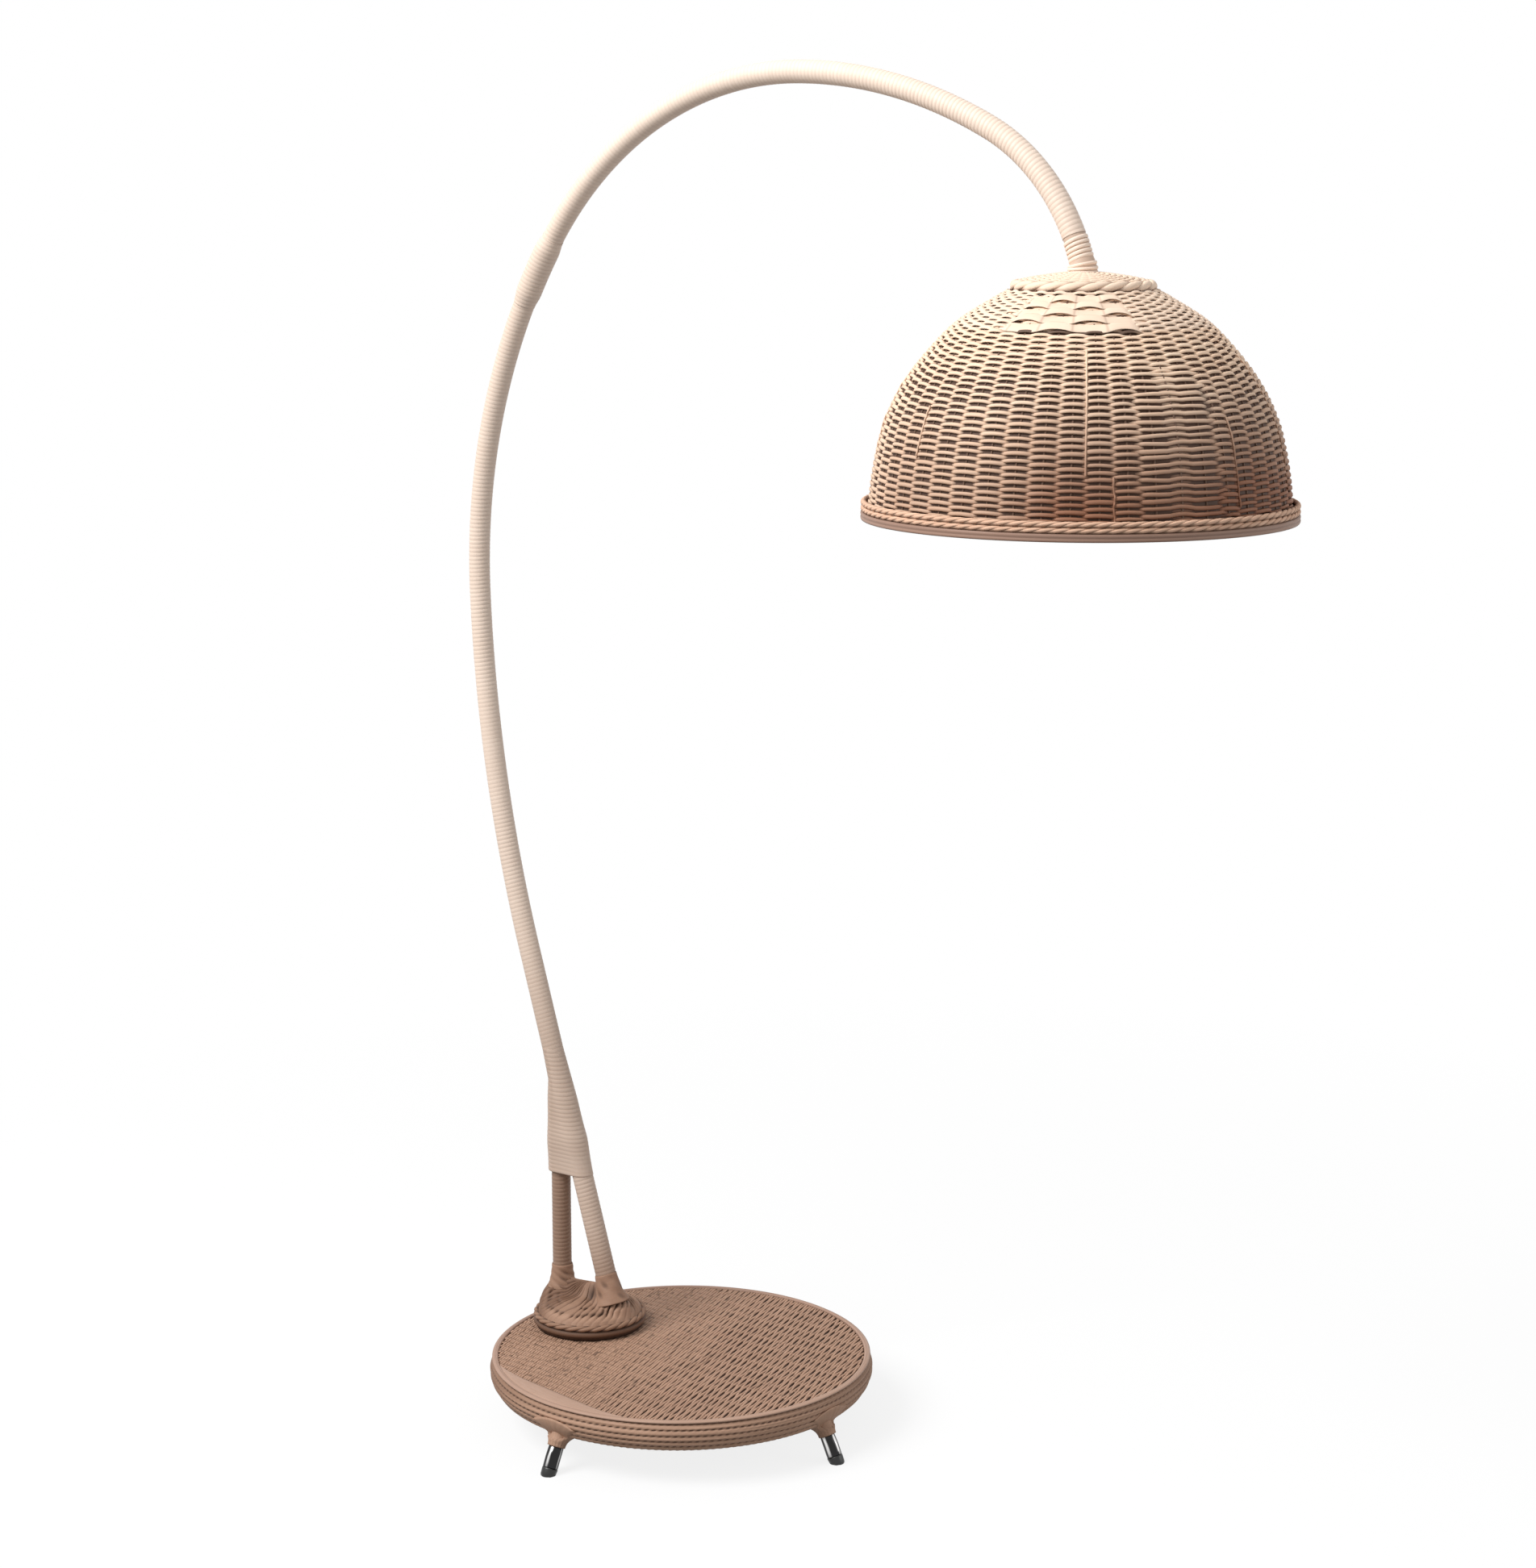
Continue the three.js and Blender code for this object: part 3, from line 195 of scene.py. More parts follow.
def strands(name, centres, wide, thick, half_width, half_thickness, material, corners=6,
            closed=False, recess=0.0, tone=0.0, stain=0.0, **settings):
    """Many oval strands in one mesh. centres is (strands, points, 3), wide and thick are unit
    vectors, and the painted shade, tone, brown of stain and shade, and the two sizes broadcast to
    (strands, points)."""
    shape = count, points = centres.shape[:2]
    angle = round_angles(corners)[:, None]
    half_width = np.broadcast_to(half_width, shape)[..., None, None]
    half_thickness = np.broadcast_to(half_thickness, shape)[..., None, None]
    wide, thick = (np.broadcast_to(way, centres.shape)[..., None, :] for way in (wide, thick))
    rings = centres[..., None, :] + np.cos(angle) * wide * half_width
    rings = rings + np.sin(angle) * thick * half_thickness
    starts = np.arange(count)[:, None, None] * points * corners
    faces = (grid_faces(points, corners, closed) + starts).reshape(-1, 4).tolist()
    if not closed:
        ends = np.arange(count * points).reshape(shape)[:, [0, -1]].reshape(-1, 1)
        faces += (ends * corners + np.arange(corners)).tolist()
    steps = np.linalg.norm(np.diff(centres, axis=1, append=centres[:, :1]), axis=-1)
    shades = {"recess": recess, "tone": tone, "stain": stain,
              "along": np.cumsum(steps, 1) - steps}
    shades = {key: np.broadcast_to(values, shape)[..., None] for key, values in shades.items()}
    piece(name, rings, faces, material, across=np.abs(2 * np.arange(corners) / corners - 1),
          **shades, **settings)


def revolved(name, outline, material, centre, facets=64, **settings):
    """A solid of revolution about an upright axis: outline is (radius, height) pairs that
    start and end on the axis, or a closed ring where they don't."""
    outline = np.array(outline, float)
    ring = outline[0, 0] > 0
    inner = outline if ring else outline[1:-1]
    rings = about(centre, inner[:, :1], round_angles(facets), inner[:, 1:])
    if ring:
        surface(name, rings, material, closed=True, **settings)
        return
    faces = grid_faces(len(inner), facets).tolist()
    ends = [(centre[0], centre[1], height) for height in outline[[0, -1], 1]]
    points = np.vstack([rings.reshape(-1, 3), ends])
    last = (len(inner) - 1) * facets
    for k in range(facets):
        k_next = (k + 1) % facets
        faces += [[k, k_next, len(points) - 2], [last + k, last + k_next, len(points) - 1]]
    piece(name, points, faces, material, **settings)


ROPE_STRANDS = 3
STRAND_FLATTENING = 1.25


def twisted_ring(name, centre, ring_radius, height, rope_radius, lays, material, steps,
                 tone=0.5, deep=0.75, **settings):
    """A rope of three strands laid round a ring, with lays full twists."""
    points = lays * steps
    angle = round_angles(points)
    strand_radius = rope_radius / 2
    phase = lays * angle[None] + round_angles(ROPE_STRANDS)[:, None]
    radial = about((0, 0), 1, angle, 0)[None]
    out = np.cos(phase)[..., None] * radial + np.sin(phase)[..., None] * UP
    centres = np.array([centre[0], centre[1], height]) + radial * ring_radius
    centres = centres + out * (rope_radius - strand_radius)
    ahead = unit(np.roll(centres, -1, 1) - np.roll(centres, 1, 1))
    thick = unit(out - (out * ahead).sum(-1, keepdims=True) * ahead)
    tones = tone + 0.3 * rng.uniform(-1, 1, (ROPE_STRANDS, 1))
    tones = tones + 0.2 * drift((ROPE_STRANDS, points), 40, True)
    # Painted shade: strands darken on the rope's inner side and along its underside, by deep
    inner_shade = np.clip(-np.cos(phase) * deep, 0, 1)
    inner_shade = np.maximum(inner_shade, np.clip((-0.55 - np.sin(phase)) / 0.45, 0, 1) * deep)
    strands(name, centres, np.cross(ahead, thick), thick, strand_radius * STRAND_FLATTENING,
            strand_radius, material, corners=8, closed=True, recess=inner_shade,
            tone=np.clip(tones, 0, 1), **settings)


# Materials
class Nodes:
    """A node tree, with short words for its nodes."""

    def __init__(self, tree):
        self.tree = tree

    def node(self, kind, out=0, settings=(), **inputs):
        """A new node's output. Inputs go by name, or by number after an underscore."""
        made = self.tree.nodes.new("ShaderNode" + kind)
        for key, value in dict(settings).items():
            setattr(made, key, value)
        for key, value in inputs.items():
            socket = int(key[1:]) if key[0] == "_" else key.replace("_", " ")
            self.plug(made.inputs[socket], value)
        return made.outputs[out]

    def plug(self, socket, value):
        if isinstance(value, bpy.types.NodeSocket):
            self.tree.links.new(value, socket)
        else:
            socket.default_value = (*value, 1.0) if isinstance(value, tuple) else value

    def attribute(self, name):
        return self.node("Attribute", "Fac", {"attribute_name": name})

    def math(self, operation, a, b=0.0):
        return self.node("Math", 0, {"operation": operation}, _0=a, _1=b)

    def ramp(self, value, low, high, to_low=0.0, to_high=1.0):
        return self.node("MapRange", Value=value, From_Min=low, From_Max=high, To_Min=to_low,
                         To_Max=to_high)

    def mix(self, share, a, b):
        return self.node("Mix", 2, {"data_type": "RGBA"}, _0=share, _6=a, _7=b)

    def place(self):
        return self.node("TexCoord", "Object")

    def noise(self, scale, detail, roughness=0.55, vector=None):
        return self.node("TexNoise", Vector=vector or self.place(), Scale=scale, Detail=detail,
                         Roughness=roughness)


class Finish(Nodes):
    """A material with one Principled shader."""

    def __init__(self, name):
        self.material = bpy.data.materials.new(name)
        self.material.use_nodes = True
        super().__init__(self.material.node_tree)
        self.shader = self.tree.nodes["Principled BSDF"]

    def bump(self, height, strength, distance):
        self.plug(self.shader.inputs["Normal"], self.node(
            "Bump", Height=height, Strength=strength, Distance=distance))

    def set(self, **values):
        for key, value in values.items():
            self.plug(self.shader.inputs[key.replace("_", " ")], value)
        return self.material


# Scales of the noise, waves per metre, and where a noise begins and ends to show
BLOTCH_SCALE, GRAIN_SCALE, FROST_SCALE = 14.0, 900.0, 400.0
FIBRES_ACROSS, TONES_APART = 5.0, 9.0
STREAK_RANGE, BLOTCH_RANGE, MID_RANGE = (0.42, 0.68), (0.4, 0.7), (0.3, 0.7)
PATCH_RANGE, WORN_RANGE = (0.35, 0.7), (0.4, 0.75)
BLOTCH_SHARE, TONE_SHARE = 0.3, 0.4
CANE_RELIEF, WORN_RELIEF, FINE_RELIEF = 0.0006, 0.0003, 0.0002
# Painted reflections on chrome, dark and bright, and painted shade at the rod's tip
CHROME_DARK_REFLECTION, CHROME_BRIGHT_REFLECTION = (0.03, 0.029, 0.029), (0.80, 0.79, 0.78)
CHROME_TIP_SHADE = (0.03, 0.03, 0.032)


def cane_finish(name, light, dark, deep, stained=None, roughness=0.62, streak_along=30.0,
                streak_share=0.35, bump=0.25):
    """Rattan: fibre streaks along the strand, blotches over the piece, a brown that stands for
    stain and painted shade, and painted shade in the gaps.
    """
    made = Finish(name)
    tone = made.attribute("tone")
    fibre = made.node(
        "CombineXYZ", X=made.math("MULTIPLY", made.attribute("along"), streak_along),
        Y=made.math("MULTIPLY", made.attribute("across"), FIBRES_ACROSS),
        Z=made.math("MULTIPLY", tone, TONES_APART))
    streaks = made.noise(1.0, 4.0, 0.6, fibre)
    blotches = made.noise(BLOTCH_SCALE, 3.0)
    grain = made.noise(GRAIN_SCALE, 2.0)
    base = made.mix(made.ramp(streaks, *STREAK_RANGE, 0.0, streak_share), light, dark)
    base = made.mix(made.ramp(blotches, *BLOTCH_RANGE, 0.0, BLOTCH_SHARE), base, dark)
    base = made.mix(made.ramp(tone, 0.0, 1.0, 0.0, TONE_SHARE), base, dark)
    # A brown that is real stain on some pieces and painted shade on others
    if stained:
        base = made.mix(made.attribute("stain"), base, stained)
    # Painted shade: gaps, grooves and hollows take the deepest tone
    base = made.mix(made.attribute("recess"), base, deep)
    made.bump(made.math("ADD", streaks, made.math("MULTIPLY", grain, 0.4)), bump, CANE_RELIEF)
    rough = made.ramp(streaks, *MID_RANGE, roughness - 0.08, roughness + 0.1)
    return made.set(Base_Color=base, Roughness=rough, Specular_IOR_Level=0.28)


def metal_finish(name, tint, worn, roughness):
    made = Finish(name)
    patches = made.noise(60.0, 4.0)
    made.bump(patches, 0.05, FINE_RELIEF)
    rough = made.ramp(patches, *MID_RANGE, roughness * 0.8, roughness * 1.3)
    return made.set(Base_Color=made.mix(made.ramp(patches, *WORN_RANGE), tint, worn),
                    Metallic=1.0, Roughness=rough)


def chrome_finish():
    """Chrome with painted reflections: bright lines that run down the rod, by the across
    attribute, and painted shade that darkens it towards the tip.
    """
    made = Finish("chrome")
    uneven = made.ramp(made.noise(40.0, 2.0), *MID_RANGE, -0.08, 0.08)
    reflections = made.math("ADD", made.attribute("across"), uneven)
    base = made.mix(made.ramp(reflections, 0.2, 0.85), CHROME_DARK_REFLECTION, CHROME_BRIGHT_REFLECTION)
    base = made.mix(made.attribute("recess"), base, CHROME_TIP_SHADE)
    return made.set(Base_Color=base, Metallic=1.0,
                    Roughness=made.ramp(reflections, *MID_RANGE, 0.1, 0.2))


def plain_finish(name, tint, worn, roughness):
    made = Finish(name)
    patches = made.noise(80.0, 5.0)
    made.bump(patches, 0.15, WORN_RELIEF)
    rough = made.ramp(patches, *MID_RANGE, roughness - 0.06, roughness + 0.06)
    return made.set(Base_Color=made.mix(made.ramp(patches, *PATCH_RANGE), tint, worn),
                    Roughness=rough)


def bulb_finish():
    made = Finish("frosted_glass")
    frost = made.noise(FROST_SCALE, 2.0)
    made.bump(frost, 0.05, FINE_RELIEF)
    return made.set(Base_Color=made.mix(frost, (0.86, 0.84, 0.79), (0.92, 0.9, 0.86)),
                    Roughness=made.ramp(frost, *MID_RANGE, 0.3, 0.4))


# Cane: its light and dark tones, the deepest tone that painted shade gives its gaps, and a brown
# that stands for real stain on some pieces and painted shade on others
SHADE_CANE = cane_finish("shade_cane", (0.95, 0.74, 0.56), (0.86, 0.58, 0.40),
                         (0.050, 0.020, 0.012), (0.30, 0.135, 0.078))
CROWN_CANE = cane_finish("crown_cane", (0.93, 0.74, 0.58), (0.84, 0.62, 0.47), (0.22, 0.10, 0.065))
RIM_CANE = cane_finish("rim_cane", (0.80, 0.52, 0.37), (0.56, 0.34, 0.225), (0.06, 0.028, 0.017))
ARM_CANE = cane_finish("arm_cane", (0.92, 0.76, 0.64), (0.83, 0.66, 0.54), (0.48, 0.33, 0.24),
                       (0.23, 0.135, 0.09), roughness=0.5, streak_share=0.3, bump=0.1)
BASE_CANE = cane_finish("base_cane", (0.50, 0.31, 0.215), (0.35, 0.205, 0.135),
                        (0.035, 0.016, 0.01), (0.17, 0.09, 0.055))
BAND_CANE = cane_finish("band_cane", (0.48, 0.315, 0.235), (0.36, 0.225, 0.16),
                        (0.14, 0.08, 0.055), (0.33, 0.20, 0.15), roughness=0.5,
                        streak_along=8.0, bump=0.12)
STEEL = metal_finish("steel", (0.33, 0.33, 0.34), (0.22, 0.21, 0.2), 0.42)
BRASS = metal_finish("brass", (0.60, 0.44, 0.2), (0.45, 0.31, 0.13), 0.32)
# Painted shadow: a near-black brown put in the gap under the boss's coil
PAINTED_SHADOW = plain_finish("painted_shadow", (0.010, 0.006, 0.005), (0.015, 0.009, 0.007), 0.9)
IRON = plain_finish("cast_iron", (0.05, 0.05, 0.05), (0.09, 0.075, 0.06), 0.8)
BOARD = plain_finish("pressed_board", (0.30, 0.19, 0.11), (0.2, 0.12, 0.07), 0.85)
CHROME = chrome_finish()
RUBBER = plain_finish("rubber", (0.008, 0.008, 0.008), (0.015, 0.015, 0.014), 0.35)
PLASTIC = plain_finish("black_plastic", (0.018, 0.017, 0.016), (0.03, 0.029, 0.028), 0.42)
GLASS = bulb_finish()


# Arm and strut: their routes are those of the CAD's tubes
POLE_LEAN = 17.1
POLE_FOOT_AHEAD = 0.1026
FLANGE_GAP = 0.0003
ARM_STRAIGHT = 0.530
ARM_ARCS = [(1.861, 15), (0.759, 37.6), (0.480, 55.2), (0.661, 25.7), (0.254, 45.8)]
NECK_END_ARC, NECK_END_LENGTH = (0.0258, 17.8), 0.0154
STRAIGHT_ON = (100.0, 1.0)
TURN_TO_JOINT = 33.9
ARM_TUBE_RADIUS, ARM_WRAP_RADIUS, STRUT_WRAP_RADIUS = 0.0125, 0.014, 0.013
ARM_LENGTH = ARM_STRAIGHT + sum(radius * math.radians(turn) for radius, turn in ARM_ARCS)
JOINT_AT = (ARM_STRAIGHT + ARM_ARCS[0][0] * math.radians(ARM_ARCS[0][1])
            + ARM_ARCS[1][0] * math.radians(TURN_TO_JOINT))
BASE_CENTRE = middle("base_hoop")
STRUT_X = middle("strut_wrap")[0]
ARM_FOOT = (STRUT_X + POLE_FOOT_AHEAD, box("pole_wrap")[0][2] - FLANGE_GAP,
            -math.radians(POLE_LEAN))


def arm_places(at):
    """x, z and heading of the arm's centre line at distances from the flange."""
    x0, z0, heading0 = ARM_FOOT
    x, z = x0 + at * math.sin(heading0), z0 + at * math.cos(heading0)
    heading = np.full_like(at, heading0)
    x0 += ARM_STRAIGHT * math.sin(heading0)
    z0 += ARM_STRAIGHT * math.cos(heading0)
    done = ARM_STRAIGHT
    for radius, turn in [*ARM_ARCS, NECK_END_ARC, STRAIGHT_ON]:
        inside = at > done
        turned = heading0 + (at[inside] - done) / radius
        heading[inside] = turned
        x[inside] = x0 + radius * (math.cos(heading0) - np.cos(turned))
        z[inside] = z0 + radius * (np.sin(turned) - math.sin(heading0))
        ended = heading0 + math.radians(turn)
        x0 += radius * (math.cos(heading0) - math.cos(ended))
        z0 += radius * (math.sin(ended) - math.sin(heading0))
        heading0 = ended
        done += radius * math.radians(turn)
    return x, z, heading


def arm_points(at, angle, radius):
    """Points at a distance along the arm, an angle round it and a radius from its centre."""
    at, angle, radius = np.broadcast_arrays(at, angle, radius)
    x, z, heading = arm_places(np.ascontiguousarray(at, float))
    square = np.cos(angle) * radius
    return np.stack([
        x + square * np.cos(heading), np.sin(angle) * radius, z - square * np.sin(heading)], -1)


def strut_points(at, angle, radius):
    return about((STRUT_X, 0), radius, angle, box("strut_wrap")[0][2] + at)


# Flat cane wound close: each turn's steps along it, as shares of the pitch, and their depths
CANE_PITCH = 0.0055
CANE_GROOVE = 0.0003
STEP_SHARES, STEP_DEPTHS = np.array([(0.0, 1.0), (0.14, 0.3), (0.5, 0.0), (0.86, 0.3)]).T
PER_TURN = len(STEP_SHARES)
WOUND_CORNERS = 22
# Painted shade in the grooves between turns
GROOVE_SHADE = 0.45
SAME_PLACE = 1e-6

# Painted shade on the cane by height, darker towards the fork, and on the strut all along
LOW_SHADE = np.array([
    (0.165, 0.86), (0.19, 0.74), (0.23, 0.56), (0.30, 0.46), (0.46, 0.56), (0.62, 0.22),
    (0.95, 0.10), (1.5, 0.12), (1.66, 0.0)])
STRUT_SHADE = 0.95


def low_stain(z):
    return np.interp(z, *LOW_SHADE.T)


def wound(name, node, start, end, radius=lambda at: ARM_WRAP_RADIUS, points_at=arm_points,
          stain=low_stain):
    """Flat cane wound close round a bar, between two distances along it."""
    turns = int((end - start) / CANE_PITCH) + 2
    i = np.arange(-PER_TURN, turns * PER_TURN)
    k = np.arange(WOUND_CORNERS)
    angle = round_angles(WOUND_CORNERS)
    at = start + CANE_PITCH * (i // PER_TURN + STEP_SHARES[i % PER_TURN])[:, None]
    at = at + CANE_PITCH * k / WOUND_CORNERS
    inside = np.clip(at, start, end)
    depth = STEP_DEPTHS[i % PER_TURN][:, None]
    uneven = 1 + 0.5 * drift((len(i),), 90)[:, None]
    points = points_at(inside, angle, radius(inside) - CANE_GROOVE * depth * uneven)
    tone = rng.uniform(0, 1, turns + 2)[i // PER_TURN + 1][:, None]
    slow = 0.5 + 0.5 * drift((len(i),), 160)[:, None]
    # Painted shade in the grooves, and painted shade by height in the brown
    surface(name, points, ARM_CANE, twist=PER_TURN, replaces=node, slot="cane", merge=SAME_PLACE,
            recess=np.clip(depth * (0.25 + 0.75 * slow) * GROOVE_SHADE, 0, 1), tone=0.6 * tone,
            stain=stain(points[..., 2]), along=angle * ARM_WRAP_RADIUS + tone,
            across=(at / CANE_PITCH) % 1)


SLEEVE_HALF, SLEEVE_TAPER = 0.050, 0.020
SLEEVE_EDGE, SLEEVE_THICKNESS = 0.0004, 0.0027


def sleeve_radius(at):
    """The bound sleeve over the arm's joint, tapered at both ends."""
    inside = np.minimum(at - (JOINT_AT - SLEEVE_HALF), JOINT_AT + SLEEVE_HALF - at)
    rise = eased(np.clip(inside / SLEEVE_TAPER, 0, 1))
    return ARM_WRAP_RADIUS + SLEEVE_EDGE + (SLEEVE_THICKNESS - SLEEVE_EDGE) * rise


def make_wraps():
    wound("pole_cane", "pole_wrap", FLANGE_GAP, JOINT_AT)
    wound("arc_cane", "arc_wrap", JOINT_AT, NECK_START)
    wound("joint_cane", "joint_sleeve", JOINT_AT - SLEEVE_HALF, JOINT_AT + SLEEVE_HALF,
          sleeve_radius)
    low, high = box("strut_wrap")
    wound("strut_cane", "strut_wrap", 0, high[2] - low[2], lambda at: STRUT_WRAP_RADIUS,
          strut_points, lambda z: STRUT_SHADE)


# Neck: one flat cane in separate turns, and a backing that hides the tube and the end plug,
# drawn dark with painted shade where it shows between the turns
NECK_TURNS, NECK_PITCH = 5, 0.0051
NECK_CANE_WIDTH, NECK_CANE_THICKNESS, NECK_GAP = 0.0042, 0.002, 0.0003
NECK_START = ARM_LENGTH - (NECK_TURNS + 1) * NECK_PITCH
NECK_BACKING = 0.0134
NECK_SWELL = np.array([(-0.006, 0.0), (0, 0.0012), (0.006, 0.0027), (0.014, 0.0028)])
NECK_FOOT_TURNS, NECK_FOOT_START, NECK_FOOT_RISE = 3, 0.0012, 0.0004
TURN_POINTS = 40


def neck_turns(name, first, turns, pitch, radius, half_width, **settings):
    """One flat cane wound round the arm's end. radius(at) is that of the cane's middle."""
    turn = np.arange(turns * TURN_POINTS + 1) / TURN_POINTS
    at, angle = first + turn * pitch, FULL_TURN * turn
    centres = arm_points(at, angle, radius(at))
    thick = unit(centres - arm_points(at, angle, 0.0))
    heading = arm_places(at)[2]
    wide = np.stack([np.sin(heading), np.zeros(len(at)), np.cos(heading)], -1)
    strands(name, centres[None], wide, thick, half_width, NECK_CANE_THICKNESS / 2, ARM_CANE,
            corners=10, slot="cane", **settings)


def backing_radius(at):
    return NECK_BACKING + np.interp(at - ARM_LENGTH, *NECK_SWELL.T)


def make_neck():
    count = NECK_TURNS * TURN_POINTS + 1
    half_width = NECK_CANE_WIDTH / 2 * (1 + 0.06 * drift((count,), 14))
    neck_turns("neck_cane", NECK_START + NECK_PITCH / 2, NECK_TURNS, NECK_PITCH,
               lambda at: ARM_TUBE_RADIUS + NECK_GAP + NECK_CANE_THICKNESS / 2, half_width,
               replaces="neck_winding", tone=0.3 + 0.3 * drift((count,), 30))
    end = ARM_LENGTH + NECK_END_LENGTH
    at = np.linspace(NECK_START, end, 40)[:, None]
    surface("neck_backing", arm_points(at, round_angles(40), backing_radius(at)), ARM_CANE,
            capped=True, slot="cane", recess=0.7, tone=0.5)
    first = ARM_LENGTH + NECK_FOOT_START
    pitch = (end - first - NECK_CANE_WIDTH / 2) / NECK_FOOT_TURNS
    neck_turns("neck_foot_cane", first, NECK_FOOT_TURNS, pitch,
               lambda at: backing_radius(at) + NECK_FOOT_RISE, pitch * 0.46, tone=0.4)


# Collar: its rise over the wrapping, its bulge near the foot, and how its ends dip in
COLLAR_RISE, COLLAR_EDGE, COLLAR_SUNK = 0.0026, -0.0004, 0.0007
COLLAR_BULGE, COLLAR_GROOVE = 0.0012, 0.0004
COLLAR_CORNERS = 40


def make_collar():
    """Cane bound round pole and strut together, closing on the pole above the fork."""
    low, high = box("collar_binding")
    turns = int((high[2] - low[2]) / CANE_PITCH)
    i = np.arange(turns * PER_TURN + 1)
    z = low[2] + (high[2] - low[2]) / turns * (i // PER_TURN + STEP_SHARES[i % PER_TURN])[:, None]
    share = (z - low[2]) / (high[2] - low[2])
    depth = STEP_DEPTHS[i % PER_TURN][:, None]
    pole = ARM_FOOT[0] + (z - ARM_FOOT[1]) * math.tan(ARM_FOOT[2])
    rise = COLLAR_EDGE + (COLLAR_RISE - COLLAR_EDGE) * np.clip((1 - share) / 0.4, 0, 1)
    rise = rise + COLLAR_BULGE * bell(share - 0.25, 0.12)
    half = COLLAR_CORNERS // 2
    angle = np.radians(np.r_[np.linspace(-90, 90, half), np.linspace(90, 270, half)])
    on_pole = np.arange(COLLAR_CORNERS) < half
    tapered = np.where(on_pole, np.clip(share / 0.3, 0.08, 1), 1)
    bar = ARM_WRAP_RADIUS / math.cos(ARM_FOOT[2])
    radius = bar + (rise - COLLAR_GROOVE * depth) * tapered
    radius[-1] = radius[0, on_pole] = bar - COLLAR_SUNK
    points = about((np.where(on_pole, pole, np.minimum(STRUT_X, pole)), 0), radius, angle, z)
    patchy = 0.35 + 0.65 * (0.5 + 0.5 * drift((len(i),), 9))[:, None]
    # Painted shade in the grooves, and painted shade by height, a little more on the strut's side
    surface(
        "collar_cane", points, ARM_CANE, capped=True, replaces="collar_binding", slot="cane",
        merge=SAME_PLACE, recess=0.5 * depth * patchy,
        tone=0.5 + 0.4 * drift((len(i),), 8)[:, None],
        stain=low_stain(points[..., 2]) + np.where(on_pole, 0, 0.08),
        along=angle * ARM_WRAP_RADIUS, across=((i % PER_TURN) / PER_TURN)[:, None])


# Shade: its outline, as shares of its width and depth
SHADE = {"body": "shade", "slot": "shade_weave"}
SHADE_TOP_RADIUS, SHADE_RIM_RADIUS = 0.082, 0.243
DOME_SHARES = np.array([
    (-0.02, 0), (0.04, 0.03), (0.115, 0.056), (0.379, 0.161), (0.602, 0.303), (0.767, 0.444),
    (0.878, 0.586), (0.935, 0.712), (0.975, 0.849), (1, 1)])
SHADE_CENTRE = middle("shade_weave")
SHADE_TOP = box("shade_crown_weave")[1][2]
DOME_POINTS, DOME_AT = smooth_line(np.stack([
    SHADE_TOP_RADIUS + DOME_SHARES[:, 0] * (SHADE_RIM_RADIUS - SHADE_TOP_RADIUS),
    SHADE_TOP - DOME_SHARES[:, 1] * (SHADE_TOP - box("shade_weave")[0][2])], -1), 400)
DOME_TANGENTS = unit(np.gradient(DOME_POINTS, axis=0))
DOME_END = DOME_AT[-1]

SHADE_COLUMNS, STRAND_STEPS = 48, 6
STRAND_FRONT, STRAND_BACK = 0.0011, 0.0040
STRAND_HALF_HEIGHT, STRAND_HALF_THICKNESS = 0.00225, 0.00115
STAKE_SIZES, SLIM_STAKE_SIZES = (0.0013, 0.0009), (0.0011, 0.0009)
SHARP_WEAVE, SOFT_WEAVE = 2.2, 1.6
ROW_WANDER, LOOSE_WANDER, SLOW_WANDER = 0.00055, 0.0006, 0.0006
ROW_ARCH, LOOSE_WAVE, CROWN_WIDENING = 0.0008, 0.0012, 1.12
# Depths of a dark sheet of painted shade inside the weave
SHADOW_SHEET_DEPTHS = (0.0035, 0.0045)
CROWN_START, ROW_START, UPPER_ROWS = 0.0108, 0.087, 38
ROW_PITCHES = np.array([
    (0.0, 0.0047), (0.2, 0.0042), (0.6, 0.0041), (0.85, 0.0039), (1.0, 0.0036)])

# How far the strands pass behind, and how much painted shade darkens them, by distance from the top
PASS_BEHIND = np.array([(0.02, 0.0013), (ROW_START, 0.0022), (0.16, STRAND_BACK)])
OPEN_SHARES = np.array([
    (0.02, 0.16), (0.06, 0.20), (0.087, 0.26), (0.12, 0.42), (0.16, 0.75), (0.2, 1.0)])

# The azimuth, from the shade's axis, that faces the photograph's camera
CAMERA_SIDE = math.atan2(CAMERA_PLACE[1], CAMERA_PLACE[0] - SHADE_CENTRE[0])
COLUMN_START = CAMERA_SIDE + math.radians(1.5)
LOOSE_FROM, LOOSE_TO, LOOSE_FADE = math.radians(15), math.radians(43), 0.06

# How much painted shade browns the weave, by degrees from the side that faces the camera
SHADE_ROUND = np.array([
    (-180, 0.55), (-120, 0.5), (-70, 0.40), (-38, 0.42), (-8, 0.96), (30, 1.1), (60, 1.0),
    (90, 0.95), (120, 0.8), (180, 0.55)])

# Broad patches of flat cane on the crown's front
PATCH_FROM, PATCH_TO, PATCH_FADE = math.radians(-40), math.radians(30), 0.16
PATCH_SINK, PATCH_HALF_HEIGHT, PATCH_TILT = 0.0016, 0.0087, 0.12
PATCH_HALF_THICKNESS, PATCH_ARCH, PATCH_WANDER = 0.0009, 0.0024, 0.0010
PATCH_FRONT, PATCH_BACK, PATCH_HIDDEN = 0.0002, 0.0011, 0.0034
PATCH_COLUMNS, PATCH_PHASE = 24, 0.9
PATCH_ROWS = np.array([0.0235, 0.0370, 0.0505, 0.0640, 0.0778])

